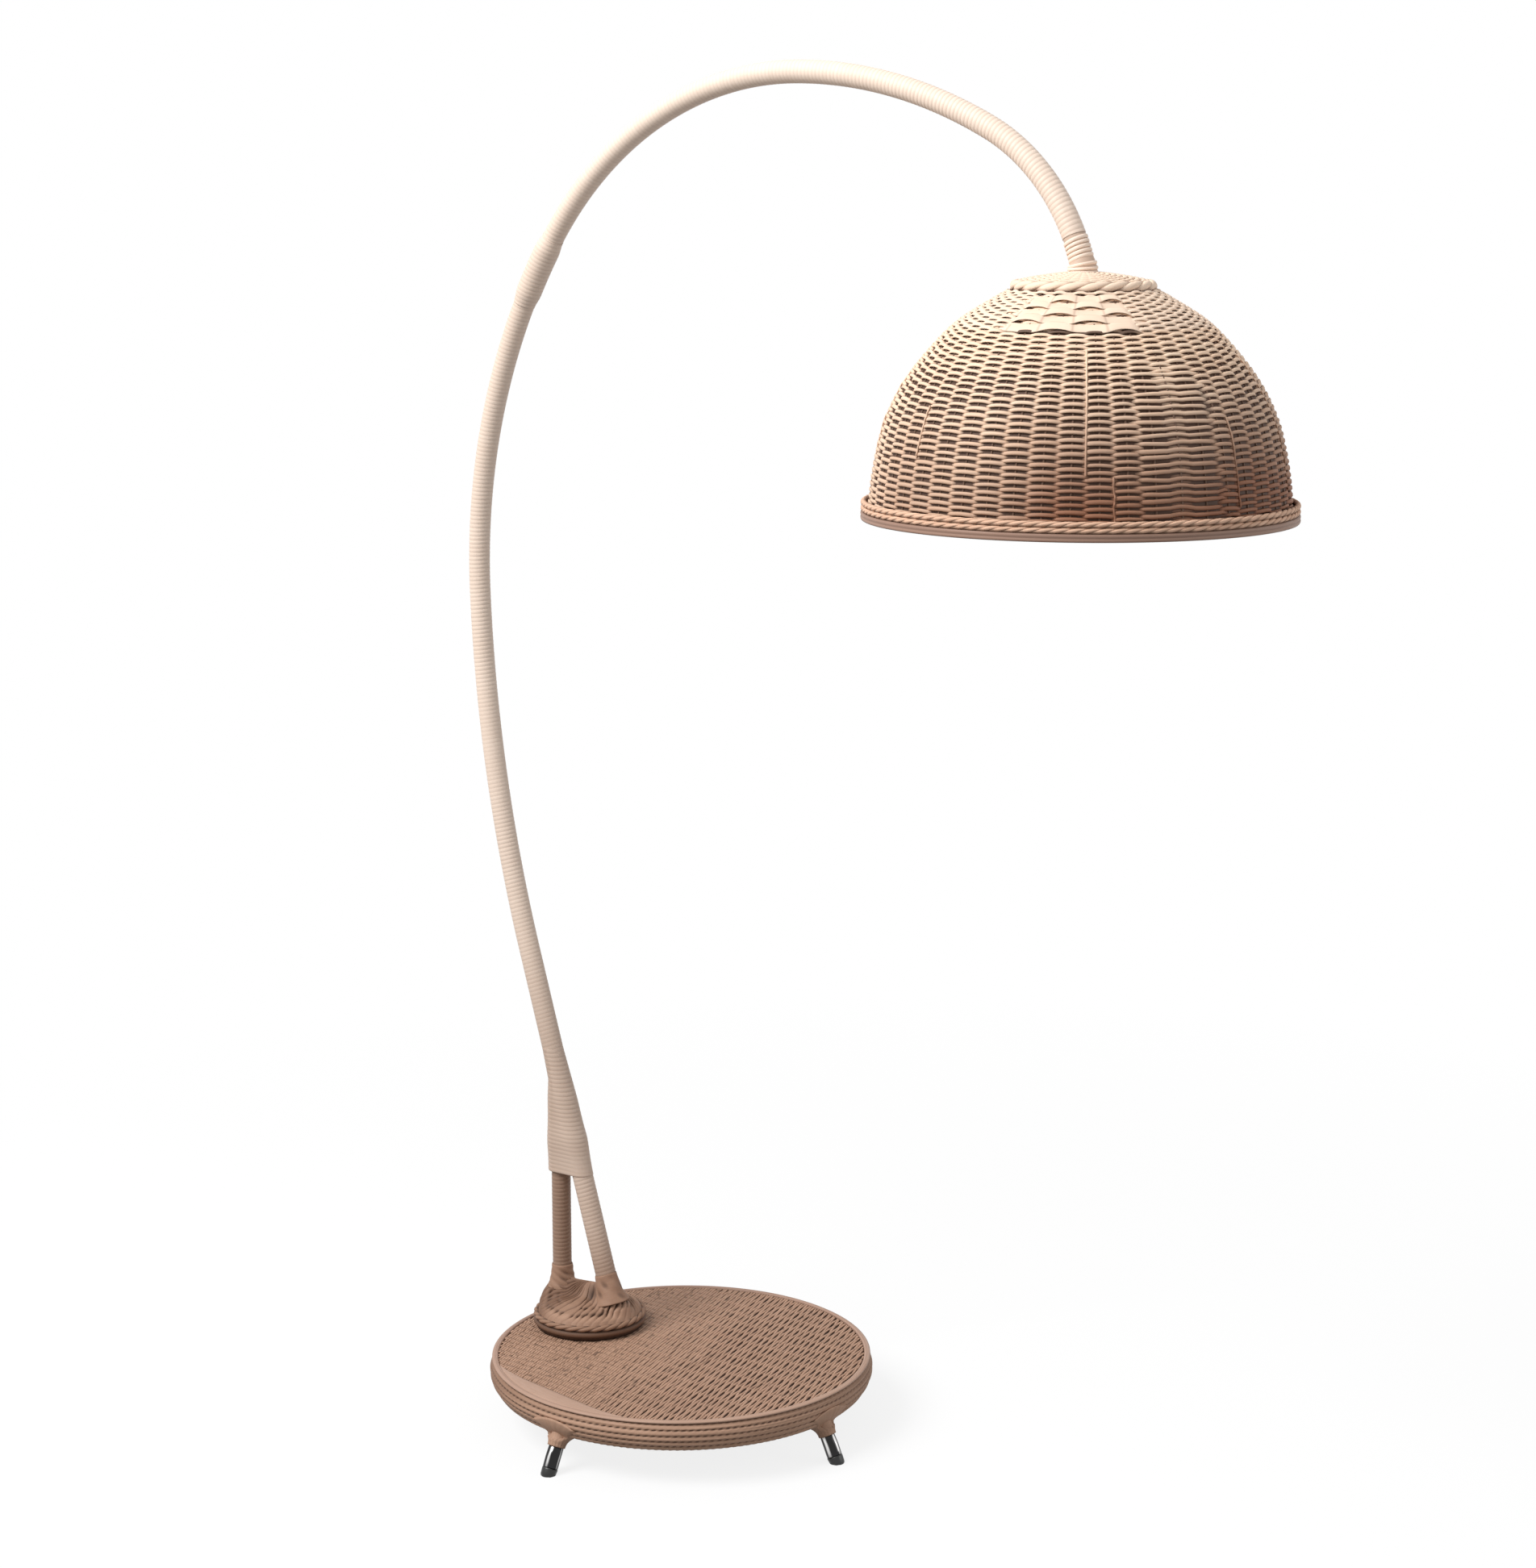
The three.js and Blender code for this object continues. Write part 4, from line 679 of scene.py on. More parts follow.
# Slim stakes that show on the face: azimuth from the camera's side, and from where to where
SHOWN_STAKES = np.array([
    (1.5, 0.110, 0.262), (9, 0.262, 0.318), (46.5, 0.200, 0.300), (-51, 0.190, 0.250),
    (76.5, 0.120, 0.290), (106.5, 0.200, 0.315), (129, 0.110, 0.240), (166.5, 0.180, 0.318),
    (-88.5, 0.140, 0.260), (-118.5, 0.210, 0.312), (-148.5, 0.120, 0.220)])


def per_ring(values):
    return np.array(values)[:, None]


def on_dome(at, inset, angle):
    """Places on the dome: arc length from its top edge, depth below its face, and angle.
    Returns the points, and the unit vectors down the outline and outwards."""
    at, inset, angle = np.broadcast_arrays(at, inset, angle)
    radius, height, down_r, down_z = (
        np.interp(at, DOME_AT, values) for values in (*DOME_POINTS.T, *DOME_TANGENTS.T))
    down = unit(about((0, 0), down_r, angle, down_z))
    out = unit(about((0, 0), -down_z, angle, down_r))
    return about(SHADE_CENTRE, radius, angle, height) - out * inset[..., None], down, out


def row_places(start, end):
    places = [start]
    while places[-1] < end:
        share = (places[-1] - start) / (end - start)
        places.append(places[-1] + np.interp(share, *ROW_PITCHES.T))
    return np.array(places[:-1])


def loose_weave(rows, angle):
    """1 where the strands run on in waves, and 0 where they pass in and out."""
    side = from_side(angle, CAMERA_SIDE)
    shift = 0.04 * rng.uniform(-1, 1, (2, len(rows), 1))
    edge = np.clip((side - LOOSE_FROM - shift[0]) / LOOSE_FADE, 0, 1)
    edge = edge * np.clip((LOOSE_TO + shift[1] - side) / LOOSE_FADE, 0, 1)
    return 0.8 * edge * np.clip((rows - ROW_START - 0.03) / 0.04, 0, 1)[:, None]


def patch_window(angle):
    """1 on the crown's front, where broad patches of cane lie over the weave."""
    side = from_side(angle, CAMERA_SIDE)
    return eased(np.clip((side - PATCH_FROM) / PATCH_FADE, 0, 1)
                 * np.clip((PATCH_TO - side) / PATCH_FADE, 0, 1))


def shade_stain(at, angle):
    """Painted shade browns the weave towards its rim, most on the camera's front and right, with
    uneven patches over it.
    """
    share = np.clip((at - ROW_START) / (DOME_END - ROW_START), 0, 1)
    side = np.degrees(from_side(angle, CAMERA_SIDE))
    patches = 0.12 * np.sin(3 * angle + 0.6) + 0.10 * np.sin(7 * angle + 2.1)
    level = np.clip((share - 0.12) / 0.75, 0, 1)
    return np.clip(np.interp(side, *SHADE_ROUND.T) * level ** 1.1 + patches * share, 0, 1)


def make_shade_weave():
    """Strands that pass in front of and behind the stakes in turn, row after row."""
    rows = row_places(CROWN_START, DOME_END - 0.004)
    points = SHADE_COLUMNS * STRAND_STEPS
    shape = len(rows), points
    angle = round_angles(points)
    phase = SHADE_COLUMNS / 2 * angle
    turned = angle + COLUMN_START
    window = patch_window(turned)
    sign = alternating(len(rows))
    wave = sign * square_wave(phase, SHARP_WEAVE)
    loose = loose_weave(rows, turned)
    run_on = np.where(sign > 0, 0.75 + 0.25 * wave, -1.0)
    wave = wave * (1 - loose) + run_on * loose
    wander = (ROW_WANDER + LOOSE_WANDER * loose) * drift(shape, 9, True)
    slow = SLOW_WANDER * drift((1, points), 30, True)
    wavy = LOOSE_WAVE * loose * np.sin(phase + 0.5 * drift((len(rows), 1), 1))
    at = rows[:, None] - ROW_ARCH * np.abs(np.sin(phase)) * (wave > 0) + wander + slow + wavy
    inset = STRAND_FRONT + np.interp(rows, *PASS_BEHIND.T)[:, None] * (1 - wave) / 2
    crown = rows < ROW_START - 0.002
    under = crown * (rows > PATCH_ROWS[0] - PATCH_HALF_HEIGHT)
    inset = inset + PATCH_SINK * under[:, None] * window
    centres, down, out = on_dome(at, inset, turned)
    half_height = STRAND_HALF_HEIGHT * (1 + 0.16 * drift(shape, 12, True))
    tone = rng.uniform(0, 1, (len(rows), SHADE_COLUMNS))[:, np.arange(points) // STRAND_STEPS]
    opened = np.interp(rows, *OPEN_SHARES.T)[:, None] * (1 + 0.3 * drift((1, points), 20, True))
    # Painted shade where strands pass behind, and a painted shadow on the row under the crown's
    # patches
    recess = np.clip(np.clip((-0.15 - wave) / 0.7, 0, 1) * opened, 0, 1)
    step_row = np.argmax(~crown)
    recess[step_row] = np.maximum(recess[step_row], 0.9 * window)
    stain = shade_stain(at, turned)
    half_height = half_height * np.where(crown, CROWN_WIDENING, 1.0)[:, None]
    parts = (("crown_strands", 0, step_row, CROWN_CANE, "shade_crown_weave"),
             ("shade_strands_upper", step_row, UPPER_ROWS, SHADE_CANE, "shade_weave"),
             ("shade_strands_lower", UPPER_ROWS, len(rows), SHADE_CANE, "shade_weave"))
    for name, first, last, material, node in parts:
        part = slice(first, last)
        strands(name, centres[part], down[part], out[part], half_height[part],
                STRAND_HALF_THICKNESS, material, closed=True, replaces=node,
                recess=recess[part], tone=tone[part], stain=stain[part], **SHADE)


def make_weave_shadow_sheet():
    """A dark sheet of painted shade in the middle of the weave, where strands cross between the
    stakes.
    """
    at = np.linspace(0.001, DOME_END - 0.001, 60)
    angle = round_angles(240)
    points = np.concatenate([on_dome(at[:, None], SHADOW_SHEET_DEPTHS[0], angle)[0],
                             on_dome(at[::-1, None], SHADOW_SHEET_DEPTHS[1], angle)[0]])
    surface("weave_shadow_sheet", points, SHADE_CANE, closed=True, tone=0.5, stain=0.5, along=0, across=0,
            recess=per_ring(np.repeat([0.92, 0.7], len(at))), **SHADE)


def make_shade_stakes():
    """Round stakes between the strands in front and those behind, drawn dark with painted shade,
    and slim ones on the face.
    """
    column = COLUMN_START + (np.arange(SHADE_COLUMNS) + 0.5) * FULL_TURN / SHADE_COLUMNS
    at = np.linspace(0.004, DOME_END - 0.001, 44)
    centres, down, out = on_dome(at, STRAND_FRONT + STRAND_BACK / 2, column[:, None])
    strands("shade_stakes", centres, np.cross(down, out), out, *STAKE_SIZES, SHADE_CANE,
            recess=0.8, tone=0.5, stain=0.6, **SHADE)
    side, start, end = SHOWN_STAKES.T[..., None]
    shape = len(SHOWN_STAKES), 60
    angle = CAMERA_SIDE + np.radians(side)
    at = start + (end - start) * np.linspace(0, 1, shape[1])
    crooked = angle + 0.004 * drift(shape, 12)
    centres, down, out = on_dome(at, 0.0014 + 0.0009 * drift(shape, 4), crooked)
    strands("shade_slim_stakes", centres, np.cross(down, out), out, *SLIM_STAKE_SIZES, SHADE_CANE,
            tone=0.8, stain=shade_stain(at, angle), **SHADE)


def make_crown():
    """Broad flat canes woven two stakes to a patch, over the front of the crown."""
    side = np.linspace(PATCH_FROM - 0.04, PATCH_TO + 0.04, 150)
    shape = len(PATCH_ROWS), len(side)
    phase = PATCH_COLUMNS / 2 * side + PATCH_PHASE
    wave = alternating(len(PATCH_ROWS)) * square_wave(phase, SOFT_WEAVE)
    arch = np.abs(np.sin(phase)) * (wave > 0)
    at = PATCH_ROWS[:, None] - PATCH_ARCH * arch + PATCH_WANDER * drift(shape, 26)
    window = patch_window(side + CAMERA_SIDE)
    inset = PATCH_FRONT + PATCH_BACK * (1 - wave) + PATCH_HIDDEN * (1 - window)
    centres, down, out = on_dome(at, inset, side + CAMERA_SIDE)
    patch = (phase // math.pi).astype(int) % PATCH_COLUMNS
    tone = rng.uniform(0, 1, (len(PATCH_ROWS), PATCH_COLUMNS))[:, patch]
    half_height = PATCH_HALF_HEIGHT * (1 + 0.1 * drift(shape, 15)) * (0.98 - 0.2 * arch)
    # Painted shade along the edges between the patches
    strands("crown_patches", centres, unit(down + PATCH_TILT * out),
            unit(out - PATCH_TILT * down), half_height, PATCH_HALF_THICKNESS, CROWN_CANE,
            corners=10,
            recess=np.clip((0.35 - np.abs(wave)) / 0.35, 0, 1) * 0.35, tone=tone, **SHADE)


# Cap rope: ring radius, height and rope radius. Then the rim's ropes, and the depth to
# which the rim's band reaches in, to close the gap under the weave.
CAP_ROPE = (0.0757, 1.5020, 0.0074)
RIM_ROPE_INSIDE, RIM_ROPE_RADIUS = 0.0036, 0.0035
RIM_INSIDE = 0.0118
BAND_BULGES = [0.0, 0.0006, 0.0008, 0.0006, 0.0001, 0.0006, 0.0008, 0.0005, 0.0]
# Painted shade in the groove between the two canes and round the band's inner side
BAND_SHADE = [0.5, 0.1, 0, 0.1, 0.5, 0.1, 0, 0.1, 0.6, 0.7, 0.7, 0.7]
CAP_MOUND = np.array([
    (0.0185, 1.5158), (0.022, 1.5160), (0.035, 1.5144), (0.055, 1.5115), (0.0715, 1.5082)])
CAP_COLUMNS, CAP_STEPS, CAP_ROWS, CAP_OPEN_ROW = 36, 5, 15, 6
CAP_SIZES, CAP_WAVE, CAP_SHADOW_SHEET_DEPTHS = (0.0026, 0.0011), 0.0008, (0.0012, 0.0030)


def make_shade_edges():
    twisted_ring("cap_braid", SHADE_CENTRE, *CAP_ROPE, 7, CROWN_CANE, 30, 0.3, 0.9,
                 replaces="shade_cap_rope", **SHADE)
    for name in ("lower", "upper"):
        node = f"shade_rim_rope_{name}"
        twisted_ring(f"rim_rope_{name}", SHADE_CENTRE, outer_radius(node) - RIM_ROPE_INSIDE,
                     middle(node)[2], RIM_ROPE_RADIUS, 33, RIM_CANE, 16, replaces=node, **SHADE)


def make_rim_band():
    """A smooth round band below the rim ropes, of two flat canes side by side."""
    low, high = box("shade_band")
    outer = outer_radius("shade_band")
    outline = [(outer - 0.0008 + bulge, low[2] + (high[2] - low[2]) * k / 8)
               for k, bulge in enumerate(BAND_BULGES)]
    outline += [(outer - RIM_INSIDE, high[2]), (outer - RIM_INSIDE, high[2] - 0.0015),
                (outer - 0.006, low[2])]
    facets, count = 240, len(outline)
    revolved("rim_band", outline, BAND_CANE, SHADE_CENTRE, facets, replaces="shade_band",
             recess=per_ring(BAND_SHADE), tone=0.5 + 0.5 * drift((facets,), 20, True), stain=0.8,
             along=round_angles(facets) * outer, across=per_ring(np.arange(count) / count), **SHADE)


def make_cap():
    """The shade's woven cap: strands wound in rings over short spokes, on a low mound. Painted
    shade darkens the gaps, most in a ring of small holes, and a dark sheet of painted shade lies
    below.
    """
    radii, heights = CAP_MOUND.T
    rows = np.linspace(radii[0] + 0.002, radii[-1], CAP_ROWS)[:, None]
    angle = round_angles(CAP_COLUMNS * CAP_STEPS)
    wave = alternating(CAP_ROWS) * square_wave(CAP_COLUMNS / 2 * angle, SOFT_WEAVE)
    centres = about(SHADE_CENTRE, rows, angle, np.interp(rows, radii, heights) + CAP_WAVE * wave)
    ahead = unit(np.roll(centres, -1, 1) - np.roll(centres, 1, 1))
    thick = unit(np.cross(unit(about((0, 0), 1, angle, -0.15)), ahead))
    open_row = np.where(np.abs(np.arange(CAP_ROWS) - CAP_OPEN_ROW) < 2, 1.6, 0.3)[:, None]
    column = np.arange(len(angle)) // CAP_STEPS
    tone = 0.6 * rng.uniform(0, 1, (CAP_ROWS, CAP_COLUMNS))[:, column]
    strands("cap_strands", centres, np.cross(ahead, thick), thick, *CAP_SIZES, CROWN_CANE,
            closed=True, replaces="shade_cap_weave", tone=tone,
            recess=np.clip(np.clip((-0.3 - wave) / 0.7, 0, 1) * open_row, 0, 1), **SHADE)
    upper, lower = CAP_SHADOW_SHEET_DEPTHS
    shadow_sheet = np.vstack([CAP_MOUND - (0, upper), CAP_MOUND[::-1] - (0, lower)])
    revolved("cap_shadow_sheet", shadow_sheet, CROWN_CANE, SHADE_CENTRE, 96, recess=0.8, tone=0.5, along=0,
             across=0, **SHADE)


# Base
COURSE_COUNT, COURSE_BULGE, COURSE_POINTS = 5, 0.0026, 8
BASE_RADIUS, BASE_WIDEST_SHARE, BASE_TUCK = 0.254, 0.62, 0.011
STITCH_PITCH, STITCH_SLANT = 0.0095, 2.2
SIDE_FACETS = 1008
COURSE_WANDER, BRIDGE_RISE, GROOVE_SINK, HOOP_GAP = 0.0006, 0.0016, 0.0008, 0.0004

# As the camera sees it, painted shade browns the base towards the left, the painted shade in the
# slit inside its rim is deepest to the right, and its smooth band is drawn palest in front
SHADED_SIDE = math.radians(CAMERA_AZIMUTH + 180)
SHADED_SLIT_SIDE = math.radians(CAMERA_AZIMUTH + 12)
BAND_FRONT = math.radians(CAMERA_AZIMUTH - 60)

# The rim's band: how far in from its edge, which end of its box it goes by (0 is the
# foot and 1 the top), the height from there, and how much painted shade darkens it
RIM_PROFILE = [
    (0.0022, 0, 0.0, 0.6), (0.0004, 0, 0.0012, 0.15), (0.0, 0, 0.0028, 0), (0.0012, 1, -0.0022, 0),
    (0.0026, 1, -0.0012, 0), (0.0038, 1, -0.0012, 0.05), (0.0046, 1, -0.0013, 0.3),
    (0.0056, 1, -0.0010, 0.05), (0.0068, 1, -0.0014, 0), (0.008, 1, -0.0024, 0.1),
    (0.0084, 0, 0.0, 0.3)]


def side_radius(share):
    away = (share - BASE_WIDEST_SHARE) / BASE_WIDEST_SHARE
    return BASE_RADIUS - BASE_TUCK * away * away


def make_base_side():
    """Coiled courses, lashed to each other by slanting stitches across the grooves."""
    low, high = box("base_side_courses")
    rows = COURSE_COUNT * COURSE_POINTS + 1
    shape = rows, SIDE_FACETS
    share = (np.arange(rows) / (rows - 1))[:, None]
    phase = (share * COURSE_COUNT) % 1
    crest = np.sin(math.pi * phase) ** 0.6
    crest[-1] = 0
    angle = round_angles(SIDE_FACETS)
    stitches = round(FULL_TURN * BASE_RADIUS / STITCH_PITCH)
    lashing = np.sin(stitches * angle - share * COURSE_COUNT * STITCH_SLANT * math.pi)
    bridge = 0.5 + 0.5 * np.tanh(2.5 * lashing)
    groove = 1 - crest
    wander = COURSE_WANDER * drift(shape, 60, True)
    radius = (side_radius(share) - COURSE_BULGE) + COURSE_BULGE * crest
    radius = radius + groove * (BRIDGE_RISE * bridge - GROOVE_SINK) + wander * crest
    z = np.broadcast_to(low[2] + (high[2] - low[2]) * share, shape)
    inner = np.full((2, SIDE_FACETS), box("base_hoop")[1][0] - BASE_CENTRE[0] + HOOP_GAP)
    ends = np.broadcast_to(per_ring([high[2], low[2]]), inner.shape)
    dark = np.ones_like(inner)
    # Painted shade in the grooves and on the inner wall; the brown is painted shade on the left and
    # less on the right, with random drift
    recess = np.clip(groove ** 1.5 * (1 - 0.75 * bridge), 0, 1)
    tone = 0.5 + 0.5 * drift(shape, 40, True)
    left = from_side(angle, SHADED_SIDE)
    right = (angle - SHADED_SIDE) % FULL_TURN - math.pi
    stain = 0.8 * bell(left, 0.7) + 0.4 * bell(right, 0.6)
    stain = stain + 0.15 * drift((rows + 2, SIDE_FACETS), 50, True)
    surface(
        "base_side_coils",
        about(BASE_CENTRE, np.vstack([radius, inner]), angle, np.vstack([z, ends])),
        BASE_CANE, closed=True, replaces="base_side_courses", slot="base_weave",
        recess=np.vstack([recess, dark]), tone=np.vstack([tone, dark]),
        stain=np.clip(stain, 0, 1), along=angle * BASE_RADIUS,
        across=np.vstack([phase, [[0], [0]]]))


def make_base_rim():
    """The smooth band round the top edge: three canes side by side, rounded over."""
    ends, outer = box("base_rim_band"), outer_radius("base_rim_band")
    profile = [(outer - inside, ends[end][2] + rise) for inside, end, rise, _ in RIM_PROFILE]
    facets, count = 360, len(profile)
    angle = round_angles(facets)
    # Painted shade in the slit between the band and the top, deepest to the right
    slit_shade = np.exp(-from_side(angle, SHADED_SLIT_SIDE) ** 2 / 0.5)
    recess = per_ring([dark for *_, dark in RIM_PROFILE])
    recess = recess + np.r_[np.zeros(count - 2), 0.5, 0.6][:, None] * slit_shade
    revolved("base_rim_canes", profile, BAND_CANE, BASE_CENTRE, facets, replaces="base_rim_band",
             slot="cane", recess=recess, tone=0.4 + 0.5 * drift((facets,), 24, True),
             stain=0.35 * (1 - np.cos(angle - BAND_FRONT)), along=angle * outer,
             across=per_ring(np.arange(count) / count))


# The base's top: its strands' heading and pitches in metres, and its ribs
TOP_LEAN = math.radians(-74.0)
TOP_RIB_PITCH, RIB_TILT = 0.0262, math.radians(2.5)
TOP_PITCH_LEFT, TOP_PITCH_RIGHT = 0.0040, 0.0042
TOP_HALF_THICKNESS, TOP_MIDDLE = 0.0012, 0.0019
TOP_WANDER, RIDGE_RISE, TOP_UNEVEN = 0.00025, 0.00045, 0.0003
PAIR_SHIFT = 0.00105
RIB_SIZES, RIB_HEIGHT, SHADOW_SHEET_HEIGHTS = (0.0030, 0.001), 0.0013, (0.0007, 0.0001)
TOP_POINTS = 220
STRIP_MIDDLE, STRIP_HALF, STRIP_WIDTH = math.radians(-97), math.radians(31), 0.026
STRIP_OUTER, STRIP_EDGE, STRIP_CROWN = 0.2436, 0.0012, 0.0010
STRIP_TOP, STRIP_FOOT = 0.0006, 0.0016


def make_base_top():
    """A flat weave: strands that pair with one neighbour, then the other, over the ribs."""
    low, high = box("base_top_weave")
    reach = outer_radius("base_top_weave") - 0.0006
    along = np.array([math.cos(TOP_LEAN), math.sin(TOP_LEAN)])
    normal = np.array([-along[1], along[0]])
    offsets = [-reach + 0.0016]
    while offsets[-1] < reach - 0.005:
        share = (offsets[-1] + reach) / (2 * reach)
        offsets.append(offsets[-1] + TOP_PITCH_LEFT + (TOP_PITCH_RIGHT - TOP_PITCH_LEFT) * share)
    offsets = np.array(offsets)[:, None]
    half = np.sqrt(np.maximum(reach**2 - offsets**2, 0))
    shape = count, points = len(offsets), TOP_POINTS
    t = np.linspace(-1, 1, points) * half
    x, y = (offsets[..., None] * normal + t[..., None] * along).transpose(2, 0, 1)
    row_y = y * math.cos(RIB_TILT) - x * math.sin(RIB_TILT)
    wobble = 0.0016 * drift((1, points), 40) + 0.0012 * drift((count, 1), 1)
    phase = math.pi * (row_y + wobble + 0.0014 * np.sin(x * 23)) / TOP_RIB_PITCH
    share = np.clip((x + 0.35 * y + 0.10) / 0.17, 0, 1)
    patch = np.clip(0.85 + 0.5 * drift(shape, 22), 0.2, 1.15)
    opened = (0.12 + 0.88 * share) * patch
    wave = np.sin(phase) * np.abs(np.sin(phase)) ** 0.2
    side_step = PAIR_SHIFT * opened * alternating(count) * wave + TOP_WANDER * drift(shape, 18)
    ridge = np.abs(np.cos(2 * phase))
    z = low[2] + TOP_MIDDLE + RIDGE_RISE * (1 - share) * (ridge - 0.5) * 2
    z = z + TOP_UNEVEN * drift(shape, 14) - TOP_UNEVEN * np.abs(wave) * share
    centres = np.stack([BASE_CENTRE[0] + x + side_step * normal[0],
                        BASE_CENTRE[1] + y + side_step * normal[1], z], -1)
    # Painted shade in the slots between strands, and in random open slots
    speck = np.clip(drift(shape, 2.5) - 0.55, 0, 1) * 2.2
    recess = np.clip(0.22 * (1 - share) * (1 - ridge) + 0.12 * share * np.abs(wave)
                     + (0.35 + 0.25 * (1 - share)) * speck, 0, 0.8)
    tone = rng.uniform(0, 1, (count, 1)) * 0.4 + 0.3 + 0.3 * drift(shape, 20)
    pitch = TOP_PITCH_LEFT + (TOP_PITCH_RIGHT - TOP_PITCH_LEFT) * (offsets / reach + 1) / 2
    width = pitch * np.clip(0.56 - 0.13 * opened + 0.03 * drift(shape, 12), 0.3, 0.58)
    for side, part in (("left", slice(0, count // 2)), ("right", slice(count // 2, count))):
        strands(f"base_top_strands_{side}", centres[part], np.array([*normal, 0.0]), UP,
                width[part], TOP_HALF_THICKNESS, BASE_CANE, replaces="base_top_weave",
                slot="base_weave", recess=recess[part], tone=np.clip(tone[part], 0, 1))
    make_top_ribs(low, reach)
    make_front_strip(high)


def make_top_ribs(low, reach):
    """The ribs under the strands, drawn dark with painted shade, and a dark layer of painted shade
    that shows through the slots.
    """
    rows = np.arange(-9, 10) * TOP_RIB_PITCH
    rows = rows[np.abs(rows) < reach - 0.01][:, None]
    t = np.linspace(-1, 1, 24) * (np.sqrt(reach**2 - rows**2) - 0.004)
    x = t * math.cos(RIB_TILT) - rows * math.sin(RIB_TILT)
    y = t * math.sin(RIB_TILT) + rows * math.cos(RIB_TILT)
    centres = np.stack(
        [BASE_CENTRE[0] + x, BASE_CENTRE[1] + y, np.full_like(x, low[2] + RIB_HEIGHT)], -1)
    wide = np.array([-math.sin(RIB_TILT), math.cos(RIB_TILT), 0.0])
    strands("base_top_ribs", centres, wide, UP, *RIB_SIZES, BASE_CANE, slot="base_weave",
            recess=0.6, tone=0.5)
    top, foot = (low[2] + rise for rise in SHADOW_SHEET_HEIGHTS)
    layer = [(0.0, top), (reach, top), (reach, foot), (0.0, foot)]
    revolved("base_top_shadow_sheet", layer, BASE_CANE, BASE_CENTRE, 180, slot="base_weave",
             recess=0.95, tone=0.5, stain=0.5, along=0, across=0)


def make_front_strip(high):
    """A smooth crescent of flat cane laid over the weave, inside the rim."""
    points = 90
    share = np.linspace(-1, 1, points)
    angle = STRIP_MIDDLE + share * STRIP_HALF
    swell = np.cos(share * math.pi / 2) ** 1.2
    across = np.linspace(0, 1, 12)[:, None]
    radius = STRIP_OUTER - across * (STRIP_EDGE + STRIP_WIDTH * swell)
    crown = STRIP_CROWN * np.sin(math.pi * across) ** 0.6 * swell ** 0.5
    top = high[2] - STRIP_TOP + crown + 0.0002 * drift((1, points), 14)
    upper = about(BASE_CENTRE, radius, angle, top)
    lower = about(BASE_CENTRE, radius, angle, high[2] - STRIP_FOOT)[::-1]
    rings = np.concatenate([upper, lower]).transpose(1, 0, 2)
    # Painted shade on the strip's inner edge and underside
    surface("base_front_strip", rings, BAND_CANE, capped=True, slot="cane",
            recess=np.r_[np.zeros(10), 0.25, 0.5, np.full(12, 0.5)],
            tone=per_ring(0.3 + 0.3 * drift((points,), 20)), stain=0.1,
            along=per_ring(angle * STRIP_OUTER), across=np.arange(24) / 5)


# Boss: a low mound from which strands rise to the strut and the pole. Its forms are
# heights over its foot by distance from a middle.
BOSS_X, BOSS_FOOT = middle("boss_rope_lower")[0], box("boss_weave")[0][2]
BOSS_RADIUS = 0.0725
BOSS_DOME = np.array([
    (0, 0.040), (0.3, 0.0395), (0.55, 0.037), (0.8, 0.0305), (0.93, 0.024), (1, 0.0165)])
STRUT_BULGE = np.array([(0, 0.052), (0.0145, 0.052), (0.0170, 0.048), (0.0225, 0.0400),
                        (0.0325, 0.0250), (0.037, 0.0155), (0.045, 0)])
POLE_BULGE = np.array([(0, 0.050), (0.014, 0.050), (0.020, 0.041), (0.026, 0.033), (0.034, 0)])
WEB = np.array([
    (0, 0.0555), (0.004, 0.0545), (0.008, 0.0500), (0.013, 0.041), (0.020, 0.030), (0.027, 0)])
WEB_RISE = 0.16
FORM_SHARPNESS = 260.0
BOSS_STRANDS, BOSS_TWIST, TWIST_SWING = 40, 0.75, 1.0
BOSS_RELIEF, FOLD_DEPTH, SLOPE_STEP = 0.0025, 0.0009, 0.0006
HOLE_RING, HOLE_DEPTH, UPPER_RING = 0.79, 0.0045, 0.60
HOLLOW_AT, HOLLOW_WIDTH, HOLLOW_DEPTH = (0.0125, -0.009), 0.0072, 0.009

# Sleeves of the boss: radius and height over its foot, from the top down, and back inside
STRUT_SLEEVE = [(0.0131, 0.0740), (0.0143, 0.0725), (0.0147, 0.0660), (0.0156, 0.0590),
                (0.0172, 0.0515), (0.0196, 0.0440), (0.0204, 0.0415), (0.0190, 0.0405),
                (0.0150, 0.0480)]
POLE_SKIRT = [(0.0141, 0.0760), (0.0149, 0.0745), (0.0154, 0.0680), (0.0168, 0.0600),
              (0.0188, 0.0500), (0.0222, 0.0410), (0.0236, 0.0380), (0.0232, 0.0368),
              (0.0218, 0.0372), (0.0160, 0.0480)]

# Coil and rope round the boss: radius and height, and how much painted shade darkens the coil
BOSS_BAND = [(0.0700, 0.0945), (0.0745, 0.0950), (0.0762, 0.0970), (0.0763, 0.0998),
             (0.0750, 0.1022), (0.0700, 0.1034)]
BOSS_BAND_SHADE = [1.0, 0.75, 0.35, 0.25, 0.6, 0.95]
BOSS_ROPE = (0.0722, 0.1068, 0.0044)
UNDERCUT = [(0.0690, 0.0903), (0.0722, 0.0903), (0.0722, 0.0950), (0.0690, 0.0950)]


def hollow_at(x, y):
    return bell(np.hypot(x - BOSS_X - HOLLOW_AT[0], y - HOLLOW_AT[1]), HOLLOW_WIDTH)


